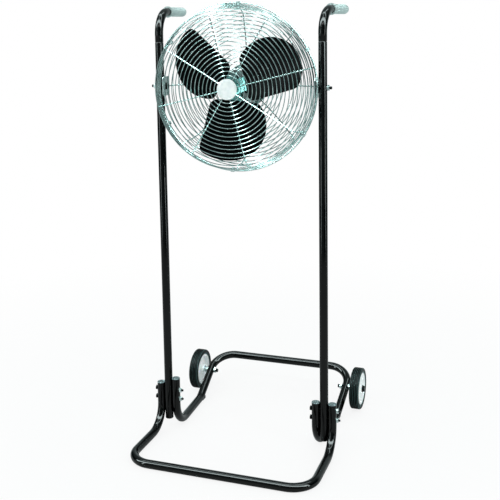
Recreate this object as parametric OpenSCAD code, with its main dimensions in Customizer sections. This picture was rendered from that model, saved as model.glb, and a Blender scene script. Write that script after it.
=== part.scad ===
// Industrial pedestal fan: a wire-guarded head tilts between two tube posts on a wheeled tube base.
// X runs right, Y to the back and Z up. The fan blows towards -Y.
// Drawn with the posts' plane at y = 0, then moved so that the origin is on the floor under its middle.

/* [Frame tubes] */
// Outer diameter of every frame tube
tube_d = 28.6; // [26:0.1:31]
// Wall of every frame tube
tube_wall = 1.6; // [1.2:0.1:2.4]
// Gap between tubes that are bolted side by side
clamp_gap = 0.3; // [0.1:0.1:0.5]

/* [Posts and handles] */
// Distance between the axes of the posts
post_span = 576; // [570:1:600]
// Height of a post's lower end
post_foot_z = 44; // [36:1:60]
// Height of the seam between a post and its handle tube
seam_z = 1392; // [1370:1:1400]
// Height of the handles' centreline
handle_z = 1495.5; // [1490:0.5:1520]
// Bend radius of the handles
handle_bend_r = 77; // [60:1:85]
// Reach of the handles behind the posts
handle_reach = 243; // [230:1:270]
// Outward turn of the handles, in degrees
handle_turn = 3.7; // [0:0.1:6]
// Length of the handle's spigot inside the post
spigot_len = 52; // [40:1:70]
// Length of a grip
grip_len = 156; // [130:1:160]
// Diameter of a grip over its ribs
grip_d = 33.4; // [32.5:0.1:35]
// Diameter of a grip's end flange
grip_flange_d = 39.5; // [37:0.5:44]
// Ribs along a grip
grip_ribs = 17; // [12:1:20]

/* [Base] */
// Reach of the front bar ahead of the posts
front_reach = 286; // [270:1:310]
// Bend radius of the front corners
front_corner_r = 80; // [60:1:95]
// Bend radius from an upright to its floor rail
rail_bend_r = 83; // [70:1:88]
// Height of the front frame's upright ends
upright_top_z = 171.5; // [168:0.5:185]
// Extra height of the rear frame's left upright
left_extra = 20; // [0:1:30]
// Distance of the rear frame's kink behind the posts
kink_y = 245; // [235:1:255]
// Reach of the rear bar behind the posts
rear_reach = 458; // [445:1:480]
// Height of the rear bar's centreline
rear_bar_z = 116.5; // [110:0.5:125]
// Outward lean of each rear leg at the rear bar
rear_splay = 21; // [0:1:25]
// Bend radius of the kinks
kink_r = 70; // [50:1:90]
// Bend radius of the rear corners
rear_corner_r = 82; // [70:1:83]
// Length of the glide pad under each kink
foot_len = 28; // [20:1:34]

/* [Frame bolts] */
// Diameter of the frame bolts
bolt_d = 8; // [6:0.5:9]
// Height of the lower pair of frame bolts
bolt_low_z = 118; // [112:1:125]
// Distance between the two frame bolts of a side
bolt_pitch = 32; // [26:1:36]

/* [Wheels] */
// Outer radius of a wheel
wheel_r = 76; // [72:0.5:80]
// Width of a wheel
wheel_w = 36; // [32:1:40]
// Radius of a wheel's plastic hub
hub_r = 60; // [54:0.5:63]
// Grooves around the tread
tread_grooves = 4; // [2:1:5]
// Diameter of the axle bolts
axle_d = 12.7; // [11:0.1:14]
// Length of the spacer between leg and wheel
spacer_len = 13.5; // [10:0.5:18]
// Radial clearance where something turns on a shaft or bolt
running = 0.05; // [0.02:0.01:0.09]

/* [Head] */
// Height of the head's pivot and of the fan's axis
head_z = 1243; // [1235:1:1250]
// Diameter of the pivot bolts
pivot_d = 9.5; // [8:0.5:11]
// Diameter of the friction washers at the pivot
pivot_washer_d = 36; // [28:1:40]
// Thickness of the friction washers
pivot_washer_t = 4.5; // [3:0.1:6]
// Thickness of the brackets on the guard
bracket_t = 3; // [2:0.5:4]

/* [Guard] */
// Radius of the rim wires' centreline
rim_r = 278; // [275:0.5:280]
// Diameter of the rim wires
rim_wire_d = 5; // [4:0.5:5.5]
// Diameter of the ring wires
ring_wire_d = 3; // [2.5:0.1:3.4]
// Diameter of the spoke wires
spoke_wire_d = 4; // [3.4:0.1:4.4]
// Depth to which welded wires sink into each other
weld = 0.4; // [0.2:0.1:0.6]
// Distance between neighbouring rings
ring_pitch = 13.67; // [12.5:0.01:13.9]
// Rings on the flat front face
face_rings = 16; // [15:1:16]
// Spokes of the front guard
front_spokes = 8; // [6:1:10]
// Spokes of the rear guard
rear_spokes = 8; // [8:4:8]
// Turn of the front spokes, clockwise from above the axis
front_spoke_turn = 31; // [0:1:44]
// Distance of the front face ahead of the posts
face_y = 112; // [108:0.5:116]
// Distance of the front rim ahead of the posts
rim_y = 35.8; // [34:0.1:38]
// Radius of the flat face's spokes at the corner
corner_r = 257; // [255:0.5:260]
// Bend radius of the corner
corner_bend_r = 25; // [20:1:28]
// Diameter of the badge
badge_d = 68; // [60:1:74]
// Clips that hold the two rims together
rim_clips = 6; // [6:6:6]

/* [Propeller] */
// Blades of the propeller
blade_count = 3; // [3:1:3]
// Turn of the first blade, clockwise from above the axis
blade_turn = 68; // [0:1:119]
// Pitch of the blades, in degrees
blade_pitch = 20; // [14:1:21]
// Thickness of the blade sheet
blade_t = 1.8; // [1.2:0.1:2.5]
// Radius of the blade's rounded lobe
lobe_r = 120; // [112:0.5:120]
// Distance of the lobe's centre from the axis
lobe_s = 126; // [120:0.5:126]
// Distance of the straight trailing edge from the blade's centreline
trail_t = 70; // [60:1:74]
// Distance of the blade's root from the axis
root_s = 42; // [36:1:48]
// Radius of the blade's camber
camber_r = 300; // [260:5:400]
// Distance of the blades' middle ahead of the posts
blade_y = 45; // [42:1:48]
// Diameter of the rivets that hold a blade
rivet_d = 5; // [4:0.5:6]

/* [Motor] */
// Outer diameter of the motor
motor_d = 126; // [120:1:128]
// Wall of the motor shell
shell_t = 2; // [1.5:0.1:2.5]
// Distance of the motor's rear face behind the posts
motor_back_y = 79; // [76:0.5:82]
// Length of the motor over its end bells
motor_len = 94; // [90:1:96]
// Depth of an end bell
bell_len = 16; // [15:0.5:17]
// Diameter of the motor shaft
shaft_d = 12.7; // [11:0.1:14]
// Radius of the rotor
rotor_r = 31.6; // [28:0.1:34]
// Air gap between rotor and stator
air_gap = 0.4; // [0.3:0.05:0.8]
// Length of the rotor and stator stacks
stack_len = 36; // [30:1:38]
// Outer diameter of the bearings
bearing_d = 35; // [30:1:37]
// Width of the bearings
bearing_w = 11; // [9:0.5:11]

/* [Switch box] */
// Width of the switch box
box_w = 86; // [80:1:92]
// Depth of the switch box
box_len = 38; // [36:1:44]
// Height of the switch box
box_h = 72; // [70:1:78]
// Wall of the switch box
box_t = 2; // [1.5:0.1:3]
// Diameter of the speed knob
knob_d = 34; // [28:1:38]
// Diameter of the cord that the inlet gland takes
cord_d = 8.2; // [7:0.1:9]

/* [Hidden] */
$fn = 64;

tube_r = tube_d / 2;
bore_r = tube_r - tube_wall;
// Working clearances: pieces that rest on each other, plugs in tubes, and bolts in their holes
seat = 0.1;
plug_fit = 0.05;
hole_fit = 0.2;
// Bent stretches draw in by this much, and straight ones lap into them
bend_draw = 0.02;
lap = 0.4;
post_x = post_span / 2;
tube_pitch = tube_d + clamp_gap;
outer_x = post_x + tube_pitch;
inner_x = post_x - tube_pitch;
rail_z = tube_r;
cap_t = 3.5;
bolt_zs = [bolt_low_z, bolt_low_z + bolt_pitch];
head_hex_d = 1.85 * bolt_d;
head_hex_t = 0.65 * bolt_d;
// The rear ramp climbs from the kink to the rear bar, and the axle crosses it at the wheel's height
ramp_rise = (rear_bar_z - rail_z) / (rear_reach - kink_y);
ramp_angle = atan(ramp_rise);
axle_y = kink_y + (wheel_r - rail_z) / ramp_rise;
toe = rear_splay / rear_reach;
leg_x = inner_x + toe * axle_y;
wheel_in_x = leg_x + tube_r + spacer_len;
wheel_out_x = wheel_in_x + wheel_w;
axle_nut_w = 2 * axle_d;
axle_nut_t = 8;
axle_washer_t = 2;
axle_head_t = 7;
bushing_t = 2.6;
mid_y = (rear_reach - front_reach) / 2;
// The pivot's stack, from the post inwards
washer_out_x = post_x - tube_r - seat;
bracket_out_x = washer_out_x - pivot_washer_t - seat;
bracket_in_x = bracket_out_x - bracket_t;
pivot_head_d = 24;
pivot_head_t = 8;
pivot_nut_t = 8;
ring_r = ring_wire_d / 2;
spoke_r = spoke_wire_d / 2;
rim_wire_r = rim_wire_d / 2;
// Centres of welded wires are this far apart
ring_off = ring_r + spoke_r - weld;
rim_off = rim_wire_r + spoke_r - weld;
face_spoke_y = -face_y + ring_off;
front_rim_y = -rim_y;
rear_rim_y = front_rim_y + rim_wire_d + 0.3;
hidden_ring_r = 31.33;
spoke_end_r = 20;
// Rings at a bracket's height keep clear of the pivot bolt's head
wall_ring_r = bracket_in_x - seat - ring_r;
wall_spoke_r = wall_ring_r - ring_off;
wall_ring_y = pivot_head_d / 2 + ring_r + 1.5;
// Outline of a front spoke in the plane of the axis, as radius and y
front_path = [[spoke_end_r, face_spoke_y], [corner_r, face_spoke_y], [rim_r - rim_off, front_rim_y + 2]];
plate_t = 3;
plate_r = 75;
plate_y = motor_back_y;
rear_spoke_y = plate_y - spoke_r - seat;
// Outline of a rear spoke: flat back, shoulder, wall past the posts, and the flare to the rim
back_flat_r = 150;
shoulder_r = 243;
shoulder_y = rear_spoke_y - 25;
rear_path = [[motor_d / 2 + 2, rear_spoke_y], [back_flat_r, rear_spoke_y], [shoulder_r, shoulder_y],
    [wall_spoke_r, 20], [wall_spoke_r, -17], [rim_r - 1, rear_rim_y + 1]];
rear_bends = [120, 25, 30, 12];
blade_mid_y = -blade_y;
chord_shift = 22;
motor_r = motor_d / 2;
shell_in_r = motor_r - shell_t;
motor_front_y = motor_back_y - motor_len;
shell_front_y = motor_front_y + bell_len - 4;
shell_back_y = motor_back_y - bell_len + 4;
stack_y = (motor_front_y + motor_back_y - stack_len) / 2;
through_r = shell_in_r - 4.5;
through_d = 5;
bearing_inset = 3;
box_y = plate_y + plate_t;
box_back_y = box_y + box_len;
knob_z = 8;
spindle_d = 6;
hub_boss_r = 16;
boss_front_y = blade_mid_y - 8;
boss_len = 30;
shaft_front_y = boss_front_y - 4;
spider_t = 3;
spider_arm_w = 46;
spider_reach = 108;

// Points along an arc, from angle a0 to a1
function arc(c, r, a0, a1, n = 12) = [for (i = [0:n]) c + r * [cos(a0 + (a1 - a0) * i / n), sin(a0 + (a1 - a0) * i / n)]];
function unit(v) = v / norm(v);
function turn(a, b, c) = acos(unit(b - a) * unit(c - b));
function setback(pts, radii, i) =
    (i == 0 || i == len(pts) - 1) ? 0 : radii[i - 1] * tan(turn(pts[i - 1], pts[i], pts[i + 1]) / 2);
// Point at distance d along stretch i of a path, moved off to its outer side
function beside(pts, i, d, off) =
    let (u = unit(pts[i + 1] - pts[i])) pts[i] + u * d + off * [u.y, -u.x];
// A rounded rectangle's outline
function rounded(w, h, r, n = 6) = concat(
    arc([w / 2 - r, h / 2 - r], r, 0, 90, n), arc([r - w / 2, h / 2 - r], r, 90, 180, n),
    arc([r - w / 2, r - h / 2], r, 180, 270, n), arc([w / 2 - r, r - h / 2], r, 270, 360, n));

module placed() { translate([0, -mid_y, 0]) children(); }
module at_head() { placed() translate([0, 0, head_z]) children(); }
module both_sides() {
    for (side = [0, 1]) mirror([side, 0, 0]) children();
}
module along_x(x) { translate([x, 0, 0]) rotate([0, 90, 0]) children(); }
module along_y(y) { translate([0, y, 0]) rotate([-90, 0, 0]) children(); }
module around(count, first = 0) { for (i = [0:count - 1]) rotate([0, first + i * 360 / count, 0]) children(); }

module section(r_out, r_in) {
    difference() {
        circle(r_out);
        if (r_in > 0) circle(r_in);
    }
}

// A straight tube or rod from a to b
module straight(a, b, r_out, r_in = 0) {
    u = unit(b - a);
    translate(a) rotate([0, acos(u.z), atan2(u.y, u.x)]) linear_extrude(norm(b - a)) section(r_out, r_in);
}

// The bend at corner b between a and c
module bend(a, b, c, bend_r, r_out, r_in = 0) {
    u = unit(b - a);
    w = unit(c - b);
    angle = acos(u * w);
    n = unit(w - u * (u * w));
    m = b - u * bend_r * tan(angle / 2) + n * bend_r;
    s = cross(-n, u);
    multmatrix([[-n.x, u.x, s.x, m.x], [-n.y, u.y, s.y, m.y], [-n.z, u.z, s.z, m.z]])
        rotate_extrude(angle = angle, $fn = 96) translate([bend_r, 0]) section(r_out, r_in);
}

// A tube or rod bent along a line of corners
module bent_run(pts, radii, r_out, r_in = 0) {
    last = len(pts) - 1;
    for (i = [0:last - 1]) {
        u = unit(pts[i + 1] - pts[i]);
        straight(pts[i] + u * (setback(pts, radii, i) - (i > 0 ? lap : 0)),
            pts[i + 1] - u * (setback(pts, radii, i + 1) - (i + 1 < last ? lap : 0)), r_out, r_in);
    }
    for (i = [1:last - 1])
        bend(pts[i - 1], pts[i], pts[i + 1], radii[i - 1], r_out - bend_draw, r_in > 0 ? r_in + bend_draw : 0);
}

// Holes for the frame bolts, across all three tubes of both sides
module frame_bolt_holes() {
    for (z = bolt_zs) translate([0, 0, z]) along_x(-outer_x - tube_d)
        cylinder(d = bolt_d + 2 * hole_fit, h = 2 * (outer_x + tube_d));
}

module hex(width, h) { cylinder(d = width / cos(30), h = h, $fn = 6); }

// Posts and handles
module post() {
    difference() {
        straight([post_x, 0, post_foot_z], [post_x, 0, seam_z], tube_r, bore_r);
        frame_bolt_holes();
        translate([0, 0, head_z]) along_x(inner_x) cylinder(d = pivot_d + 2 * hole_fit, h = 2 * tube_pitch);
    }
}
module post_left() { color("#141414") placed() mirror([1, 0, 0]) post(); }
module post_right() { color("#141414") placed() post(); }

// The handle turns about the post's axis, so it is drawn in its own plane with the post at the origin.
// Its lower end is necked down to a spigot, and the shoulder above rests on the post.
module in_handle_plane() { translate([post_x, 0, 0]) rotate([0, 0, -handle_turn]) children(); }
module handle_tube() {
    in_handle_plane() {
        bent_run([[0, 0, seam_z], [0, 0, handle_z], [0, handle_reach - cap_t, handle_z]], [handle_bend_r],
            tube_r, bore_r);
        straight([0, 0, seam_z], [0, 0, seam_z + tube_wall], tube_r - bend_draw, bore_r - tube_wall);
        straight([0, 0, seam_z - spigot_len], [0, 0, seam_z + lap], bore_r - plug_fit, bore_r - tube_wall);
    }
}
module handle_tube_left() { color("#141414") placed() mirror([1, 0, 0]) handle_tube(); }
module handle_tube_right() { color("#141414") placed() handle_tube(); }

// The grip is a closed sleeve with a flange at its mouth and rings of ribs along it
module grip() {
    rib_w = (grip_len - 14) / grip_ribs;
    sleeve_r = tube_r + 1.4;
    in_handle_plane() translate([0, handle_reach - grip_len, handle_z]) along_y(0) difference() {
        union() {
            rotate_extrude() polygon(concat([[0, 0], [grip_flange_d / 2 - 1.5, 0]],
                arc([grip_flange_d / 2 - 1.5, 1.5], 1.5, -60, 60, 6), [[sleeve_r, 5]],
                arc([sleeve_r - 4, grip_len - 4], 4, 0, 90, 6), [[0, grip_len]]));
            for (i = [0:grip_ribs - 1]) translate([0, 0, 8 + (i + 0.2) * rib_w])
                cylinder(d = grip_d, h = 0.55 * rib_w);
        }
        translate([0, 0, -1]) cylinder(r = tube_r + plug_fit, h = grip_len - cap_t + 1 + seat);
    }
}
module grip_left() { color("#c3cfcd") placed() mirror([1, 0, 0]) grip(); }
module grip_right() { color("#c3cfcd") placed() grip(); }

// Base frames
function front_corners() = [[outer_x, 0, upright_top_z], [outer_x, 0, rail_z], [outer_x, -front_reach, rail_z],
    [-outer_x, -front_reach, rail_z], [-outer_x, 0, rail_z], [-outer_x, 0, upright_top_z]];
module front_base_frame() {
    color("#141414") placed() difference() {
        bent_run(front_corners(), [rail_bend_r, front_corner_r, front_corner_r, rail_bend_r], tube_r, bore_r);
        frame_bolt_holes();
    }
}

function rear_corner(side) = [side * (inner_x + rear_splay), rear_reach, rear_bar_z];
function kink(side) = [side * (inner_x + toe * kink_y), kink_y, rail_z];
module rear_base_frame() {
    pts = [[inner_x, 0, upright_top_z], [inner_x, 0, rail_z], kink(1), rear_corner(1), rear_corner(-1), kink(-1),
        [-inner_x, 0, rail_z], [-inner_x, 0, upright_top_z + left_extra]];
    color("#141414") placed() difference() {
        bent_run(pts, [rail_bend_r, kink_r, rear_corner_r, rear_corner_r, kink_r, rail_bend_r], tube_r, bore_r);
        frame_bolt_holes();
        translate([0, axle_y, wheel_r]) along_x(-wheel_out_x) cylinder(d = axle_d + 2 * hole_fit, h = 2 * wheel_out_x);
    }
}

// A domed cap with a plug that fills a tube's mouth
module tube_cap(x, z) {
    translate([x, 0, z]) {
        rotate_extrude() polygon(concat([[0, seat], [tube_r, seat]], arc([tube_r - 3, seat], 3, 0, 90, 5),
            [[0, cap_t]]));
        translate([0, 0, -14]) cylinder(r = bore_r - plug_fit, h = 14 + 2 * seat);
    }
}
module upright_caps() {
    color("#93a3a1") placed() {
        for (x = [-outer_x, outer_x, inner_x]) tube_cap(x, upright_top_z);
        tube_cap(-inner_x, upright_top_z + left_extra);
    }
}
module post_plugs() {
    color("#202020") placed() for (side = [-1, 1]) translate([side * post_x, 0, post_foot_z])
        rotate([180, 0, 0]) tube_cap(0, 0);
}

// Frame bolts go in from -X on both sides
module frame_bolt_places() {
    for (x = [-outer_x, inner_x], z = bolt_zs) translate([x - tube_r, 0, z]) children();
}
clamp_w = outer_x - inner_x + tube_d;
module frame_bolts() {
    color("#1c1c1c") placed() frame_bolt_places() {
        along_x(-head_hex_t - seat) hex(head_hex_d, head_hex_t);
        along_x(-head_hex_t) cylinder(d = bolt_d, h = head_hex_t + clamp_w + 13);
    }
}
module frame_nuts() {
    color("#c9cdce") placed() frame_bolt_places() along_x(clamp_w + seat) difference() {
        hex(head_hex_d, 0.85 * bolt_d);
        translate([0, 0, -1]) cylinder(d = bolt_d + plug_fit, h = bolt_d + 2);
    }
}

// A glide pad fills the wedge between the floor and the start of each ramp
module glide_feet() {
    pad_w = 17;
    color("#1a1a1a") placed() for (side = [-1, 1]) {
        k = kink(side);
        difference() {
            translate([k.x - pad_w / 2, k.y + 6, 0]) cube([pad_w, foot_len, rail_z * 0.8]);
            straight(k - 0.3 * (rear_corner(side) - k), rear_corner(side), tube_r + seat);
        }
    }
}

// Wheels: drawn with the wheel's inner face at x = 0 and its axis on X
module at_wheel() { placed() translate([wheel_in_x, axle_y, wheel_r]) children(); }
module wheel_hub() {
    web_t = 10;
    boss_r = 17;
    rim_in = hub_r - 9;
    color("#f4f4f2") at_wheel() along_x(0) difference() {
        rotate_extrude() polygon([[0, 0], [boss_r, 0], [boss_r + 3, 10], [rim_in - 2, 13], [rim_in, 3],
            [hub_r - 1.5, 3], [hub_r - 1.5, 6], [hub_r - 5, 8], [hub_r - 5, wheel_w - 8],
            [hub_r - 1.5, wheel_w - 6], [hub_r - 1.5, wheel_w - 2.5], [rim_in, wheel_w - 2.5],
            [rim_in - 3, wheel_w - 6], [boss_r + 4, wheel_w - 5], [boss_r, wheel_w], [0, wheel_w]]);
        translate([0, 0, -1]) cylinder(r = axle_d / 2 + running + bushing_t + plug_fit, h = wheel_w + 2);
    }
}
module wheel_hub_left() { mirror([1, 0, 0]) wheel_hub(); }
module wheel_hub_right() { wheel_hub(); }

module tyre() {
    groove_w = 2.6;
    groove_d = 2.4;
    shoulder = 5;
    seat_r = hub_r - 1.5 + plug_fit;
    color("#151515") at_wheel() along_x(0) difference() {
        rotate_extrude() polygon(concat([[seat_r, 2], [wheel_r - shoulder, 0]],
            arc([wheel_r - shoulder, shoulder], shoulder, -90, 0, 5),
            arc([wheel_r - shoulder, wheel_w - shoulder], shoulder, 0, 90, 5),
            [[seat_r, wheel_w - 1.5], [seat_r, wheel_w - 6], [seat_r - 3.5, wheel_w - 8], [seat_r - 3.5, 8],
            [seat_r, 6]]));
        for (i = [0:tread_grooves - 1])
            translate([0, 0, wheel_w / 2 + (i - (tread_grooves - 1) / 2) * (wheel_w - 4) / (tread_grooves + 1)])
                translate([0, 0, -groove_w / 2]) difference() {
                    cylinder(r = wheel_r + 1, h = groove_w);
                    translate([0, 0, -1]) cylinder(r = wheel_r - groove_d, h = groove_w + 2);
                }
    }
}
module tyre_left() { mirror([1, 0, 0]) tyre(); }
module tyre_right() { tyre(); }

module wheel_bushing() {
    color("#9fa5a6") at_wheel() along_x(0) linear_extrude(wheel_w)
        section(axle_d / 2 + running + bushing_t, axle_d / 2 + running);
}
module wheel_bushing_left() { mirror([1, 0, 0]) wheel_bushing(); }
module wheel_bushing_right() { wheel_bushing(); }

// The nut inside the leg keeps clear of the tube's toe
axle_nut_in = leg_x - tube_r - seat - toe * axle_nut_w / 2;
module axle_bolt() {
    washer_x = wheel_w + 2 * seat + axle_washer_t;
    tip = wheel_in_x - axle_nut_in + axle_nut_t + 7;
    at_wheel() {
        along_x(washer_x + seat) rotate_extrude() polygon(concat([[0, 0], [11, 0], [11, axle_head_t - 3.5]],
            arc([7.5, axle_head_t - 3.5], 3.5, 0, 90, 5), [[0, axle_head_t]]));
        along_x(-tip) cylinder(d = axle_d, h = tip + washer_x + 2 * seat);
    }
}
module axle_bolts() { color("#1d1d1d") both_sides() axle_bolt(); }
module axle_washers() {
    color("#2a2c2c") both_sides() at_wheel() along_x(wheel_w + seat)
        linear_extrude(axle_washer_t) section(13.5, axle_d / 2 + hole_fit);
}
module axle_nuts() {
    color("#c9cdce") both_sides() placed()
        translate([axle_nut_in - axle_nut_t, axle_y, wheel_r]) along_x(0) difference() {
            hex(0.75 * axle_nut_w, axle_nut_t);
            translate([0, 0, -1]) cylinder(r = axle_d / 2 + plug_fit, h = axle_nut_t + 2);
        }
}
module axle_spacers() {
    color("#8f9696") both_sides() placed() difference() {
        translate([leg_x, axle_y, wheel_r]) along_x(0) cylinder(r = 11, h = tube_r + spacer_len - seat);
        translate([leg_x, axle_y, wheel_r]) along_x(-1) cylinder(r = axle_d / 2 + hole_fit, h = 2 * tube_d);
        straight(kink(1), rear_corner(1), tube_r + seat);
    }
}

// Head pivots
module pivot_bolts() {
    color("#161616") at_head() both_sides() {
        along_x(bracket_in_x - pivot_head_t - seat) rotate_extrude() polygon(concat([[0, 0]],
            arc([pivot_head_d / 2 - 5, 5], 5, -90, 0, 5), [[pivot_head_d / 2, pivot_head_t], [0, pivot_head_t]]));
        along_x(bracket_in_x - 1) cylinder(d = pivot_d, h = post_x + tube_r + pivot_nut_t + 8 - bracket_in_x + 1);
    }
}
module pivot_washers() {
    color("#101010") at_head() both_sides() along_x(washer_out_x - pivot_washer_t)
        difference() {
            rotate_extrude() polygon(concat([[0, 0], [pivot_washer_d / 2 - 1.5, 0]],
                arc([pivot_washer_d / 2 - 1.5, 1.5], 1.5, -90, 0, 4), [[pivot_washer_d / 2, pivot_washer_t],
                [0, pivot_washer_t]]));
            translate([0, 0, -1]) cylinder(d = pivot_d + 2 * hole_fit, h = pivot_washer_t + 2);
        }
}
module pivot_nuts() {
    color("#c9cdce") at_head() both_sides() along_x(post_x + tube_r + seat) difference() {
        hex(1.7 * pivot_d, pivot_nut_t);
        translate([0, 0, -1]) cylinder(d = pivot_d + plug_fit, h = pivot_nut_t + 2);
    }
}
module head_bracket() {
    color("#cfd4d5") at_head() translate([bracket_in_x, 0, 0]) rotate([90, 0, 90]) linear_extrude(bracket_t)
        difference() {
            polygon(rounded(54, 66, 12));
            circle(pivot_d / 2 + running);
        }
}
module head_bracket_left() { mirror([1, 0, 0]) head_bracket(); }
module head_bracket_right() { head_bracket(); }

// Guard wires. A ring's section has few sides, because each half of the guard is one welded solid
front_ring_sides = 12;
rear_ring_sides = 10;
module ring(p, wire_r, sides) {
    along_y(p.y) rotate_extrude($fn = 128) translate([p.x, 0]) circle(wire_r, $fn = sides);
}
module spoke(path, bends) { bent_run([for (p = path) [0, p.y, p.x]], bends, spoke_r, $fn = 24); }

corner_turn = turn(front_path[0], front_path[1], front_path[2]);
corner_back = corner_bend_r * tan(corner_turn / 2);
wall_len = norm(front_path[2] - front_path[1]);
wall_rings = floor((wall_len - corner_back - rim_wire_d) / (ring_pitch - 1));
module front_guard() {
    corner_c = [corner_r - corner_back, face_spoke_y + corner_bend_r];
    color("#dfe6e6") at_head() {
        for (i = [0:face_rings - 1]) ring([hidden_ring_r + i * ring_pitch, -face_y], ring_r, front_ring_sides);
        for (i = [1:2]) {
            a = i * corner_turn / 3;
            ring(corner_c + (corner_bend_r + ring_off) * [sin(a), -cos(a)], ring_r, front_ring_sides);
        }
        for (i = [0:wall_rings - 1])
            ring(beside(front_path, 1, corner_back + i * (ring_pitch - 1), ring_off), ring_r, front_ring_sides);
        ring([rim_r, front_rim_y], rim_wire_r, front_ring_sides);
        around(front_spokes, front_spoke_turn) spoke(front_path, [corner_bend_r]);
    }
}

back_setback = setback(rear_path, rear_bends, 1);
back_rings = floor((back_flat_r - back_setback - plate_r) / ring_pitch);
slope_len = norm(rear_path[2] - rear_path[1]) - back_setback - setback(rear_path, rear_bends, 2);
slope_gaps = round(slope_len / ring_pitch);
slope_pitch = slope_len / slope_gaps;
slope_rings = slope_gaps + 1;
// Centre of the shoulder's bend
shoulder_c = beside(rear_path, 1, back_setback + slope_len, rear_bends[1]);
module rear_guard() {
    color("#dfe6e6") at_head() {
        for (i = [0:back_rings - 1])
            ring([back_flat_r - back_setback - (i + 0.3) * ring_pitch, rear_spoke_y + ring_off], ring_r, rear_ring_sides);
        for (i = [0:slope_rings - 1])
            ring(beside(rear_path, 1, back_setback + i * slope_pitch, -ring_off), ring_r, rear_ring_sides);
        ring(shoulder_c + (rear_bends[1] + ring_off) * unit(rear_path[2] - shoulder_c), ring_r, rear_ring_sides);
        ring(beside(rear_path, 2, 0.6 * norm(rear_path[3] - rear_path[2]), -ring_off), ring_r, rear_ring_sides);
        for (y = [wall_ring_y, -wall_ring_y]) ring([wall_ring_r, y], ring_r, rear_ring_sides);
        ring([rim_r, rear_rim_y], rim_wire_r, rear_ring_sides);
        for (i = [0:rear_spokes - 1]) rotate([0, i * 360 / rear_spokes, 0])
            if (i % (rear_spokes / 2) == rear_spokes / 4) side_spoke(); else spoke(rear_path, rear_bends);
    }
}
// The two level spokes end on the ring behind the pivot bolt
module side_spoke() {
    path = [for (i = [0:2]) rear_path[i]];
    spoke(concat(path, [[wall_spoke_r, wall_ring_y - 1]]), [rear_bends[0], rear_bends[1]]);
}

// A clip strap wraps both rim wires, and a screw closes its legs inside them
clip_out_r = rim_r + rim_wire_r + 0.3;
clip_front_y = front_rim_y - rim_wire_r - 0.2;
clip_back_y = rear_rim_y + rim_wire_r + 0.2;
clip_leg_r = rim_r - rim_wire_r - 7;
clip_t = 1.4;
clip_turn = 3;
module clip_places() { around(rim_clips, clip_turn) children(); }
module rim_clip_straps() {
    clip_w = 12;
    color("#c2c9ca") at_head() clip_places() translate([-clip_w / 2, 0, 0]) rotate([90, 0, 90])
        linear_extrude(clip_w) difference() {
            translate([clip_front_y - clip_t, clip_leg_r])
                square([clip_back_y - clip_front_y + 2 * clip_t, clip_out_r + clip_t - clip_leg_r]);
            translate([clip_front_y, clip_leg_r - 1]) square([clip_back_y - clip_front_y, clip_out_r + 1 - clip_leg_r]);
        }
}
module rim_clip_screws() {
    screw_r = 1.9;
    at = clip_leg_r + 3.4;
    color("#8e9697") at_head() clip_places() translate([0, 0, at]) {
        along_y(clip_front_y + seat) cylinder(r = screw_r, h = clip_back_y - clip_front_y - 2 * seat);
    }
}

// Badge and its clamp
badge_back_y = -face_y - ring_r - seat;
clamp_y = face_spoke_y + spoke_r + seat;
module badge() {
    r = badge_d / 2;
    color("#f6f7f7") at_head() along_y(0) rotate_extrude($fn = 96) polygon(concat(
        [[0, clamp_y - seat], [12, clamp_y - seat], [12, badge_back_y], [r - 1, badge_back_y], [r, badge_back_y - 1],
        [r, badge_back_y - 3]], arc([r - 2, badge_back_y - 3], 2, 0, -90, 4),
        [for (i = [1:8]) [(r - 4) * cos(i * 90 / 8), badge_back_y - 4.4 - 3.2 * sin(i * 90 / 8)]]));
}
module badge_clamp() {
    color("#c2c9ca") at_head() {
        along_y(clamp_y) cylinder(r = 28, h = 2);
        along_y(clamp_y + 2 - 0.5) cylinder(r = 5, h = 3);
    }
}

// Motor
module motor_plate() {
    color("#c8cfd0") at_head() difference() {
        along_y(plate_y) cylinder(r = plate_r, h = plate_t, $fn = 96);
        along_y(plate_y - 1) cylinder(r = 14, h = plate_t + 2);
        plate_screw_places() along_y(plate_y - 1) cylinder(d = plate_screw_d + 2 * hole_fit, h = plate_t + 2);
        box_screw_places() along_y(plate_y - 1) cylinder(d = box_screw_d + 2 * plug_fit, h = plate_t + 2);
    }
}
plate_screw_d = 6;
plate_screw_r = 52;
module plate_screw_places() { around(4) translate([0, 0, plate_screw_r]) children(); }
module motor_plate_screws() {
    color("#b9bfc0") at_head() plate_screw_places() {
        along_y(plate_y + plate_t + seat) hex(10, 4);
        along_y(plate_y - 9) cylinder(d = plate_screw_d, h = plate_t + 9 + 1);
    }
}
module motor_shell() {
    color("#b8bebf") at_head() along_y(shell_front_y + seat)
        linear_extrude(shell_back_y - shell_front_y - 2 * seat) section(motor_r, shell_in_r);
}

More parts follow.
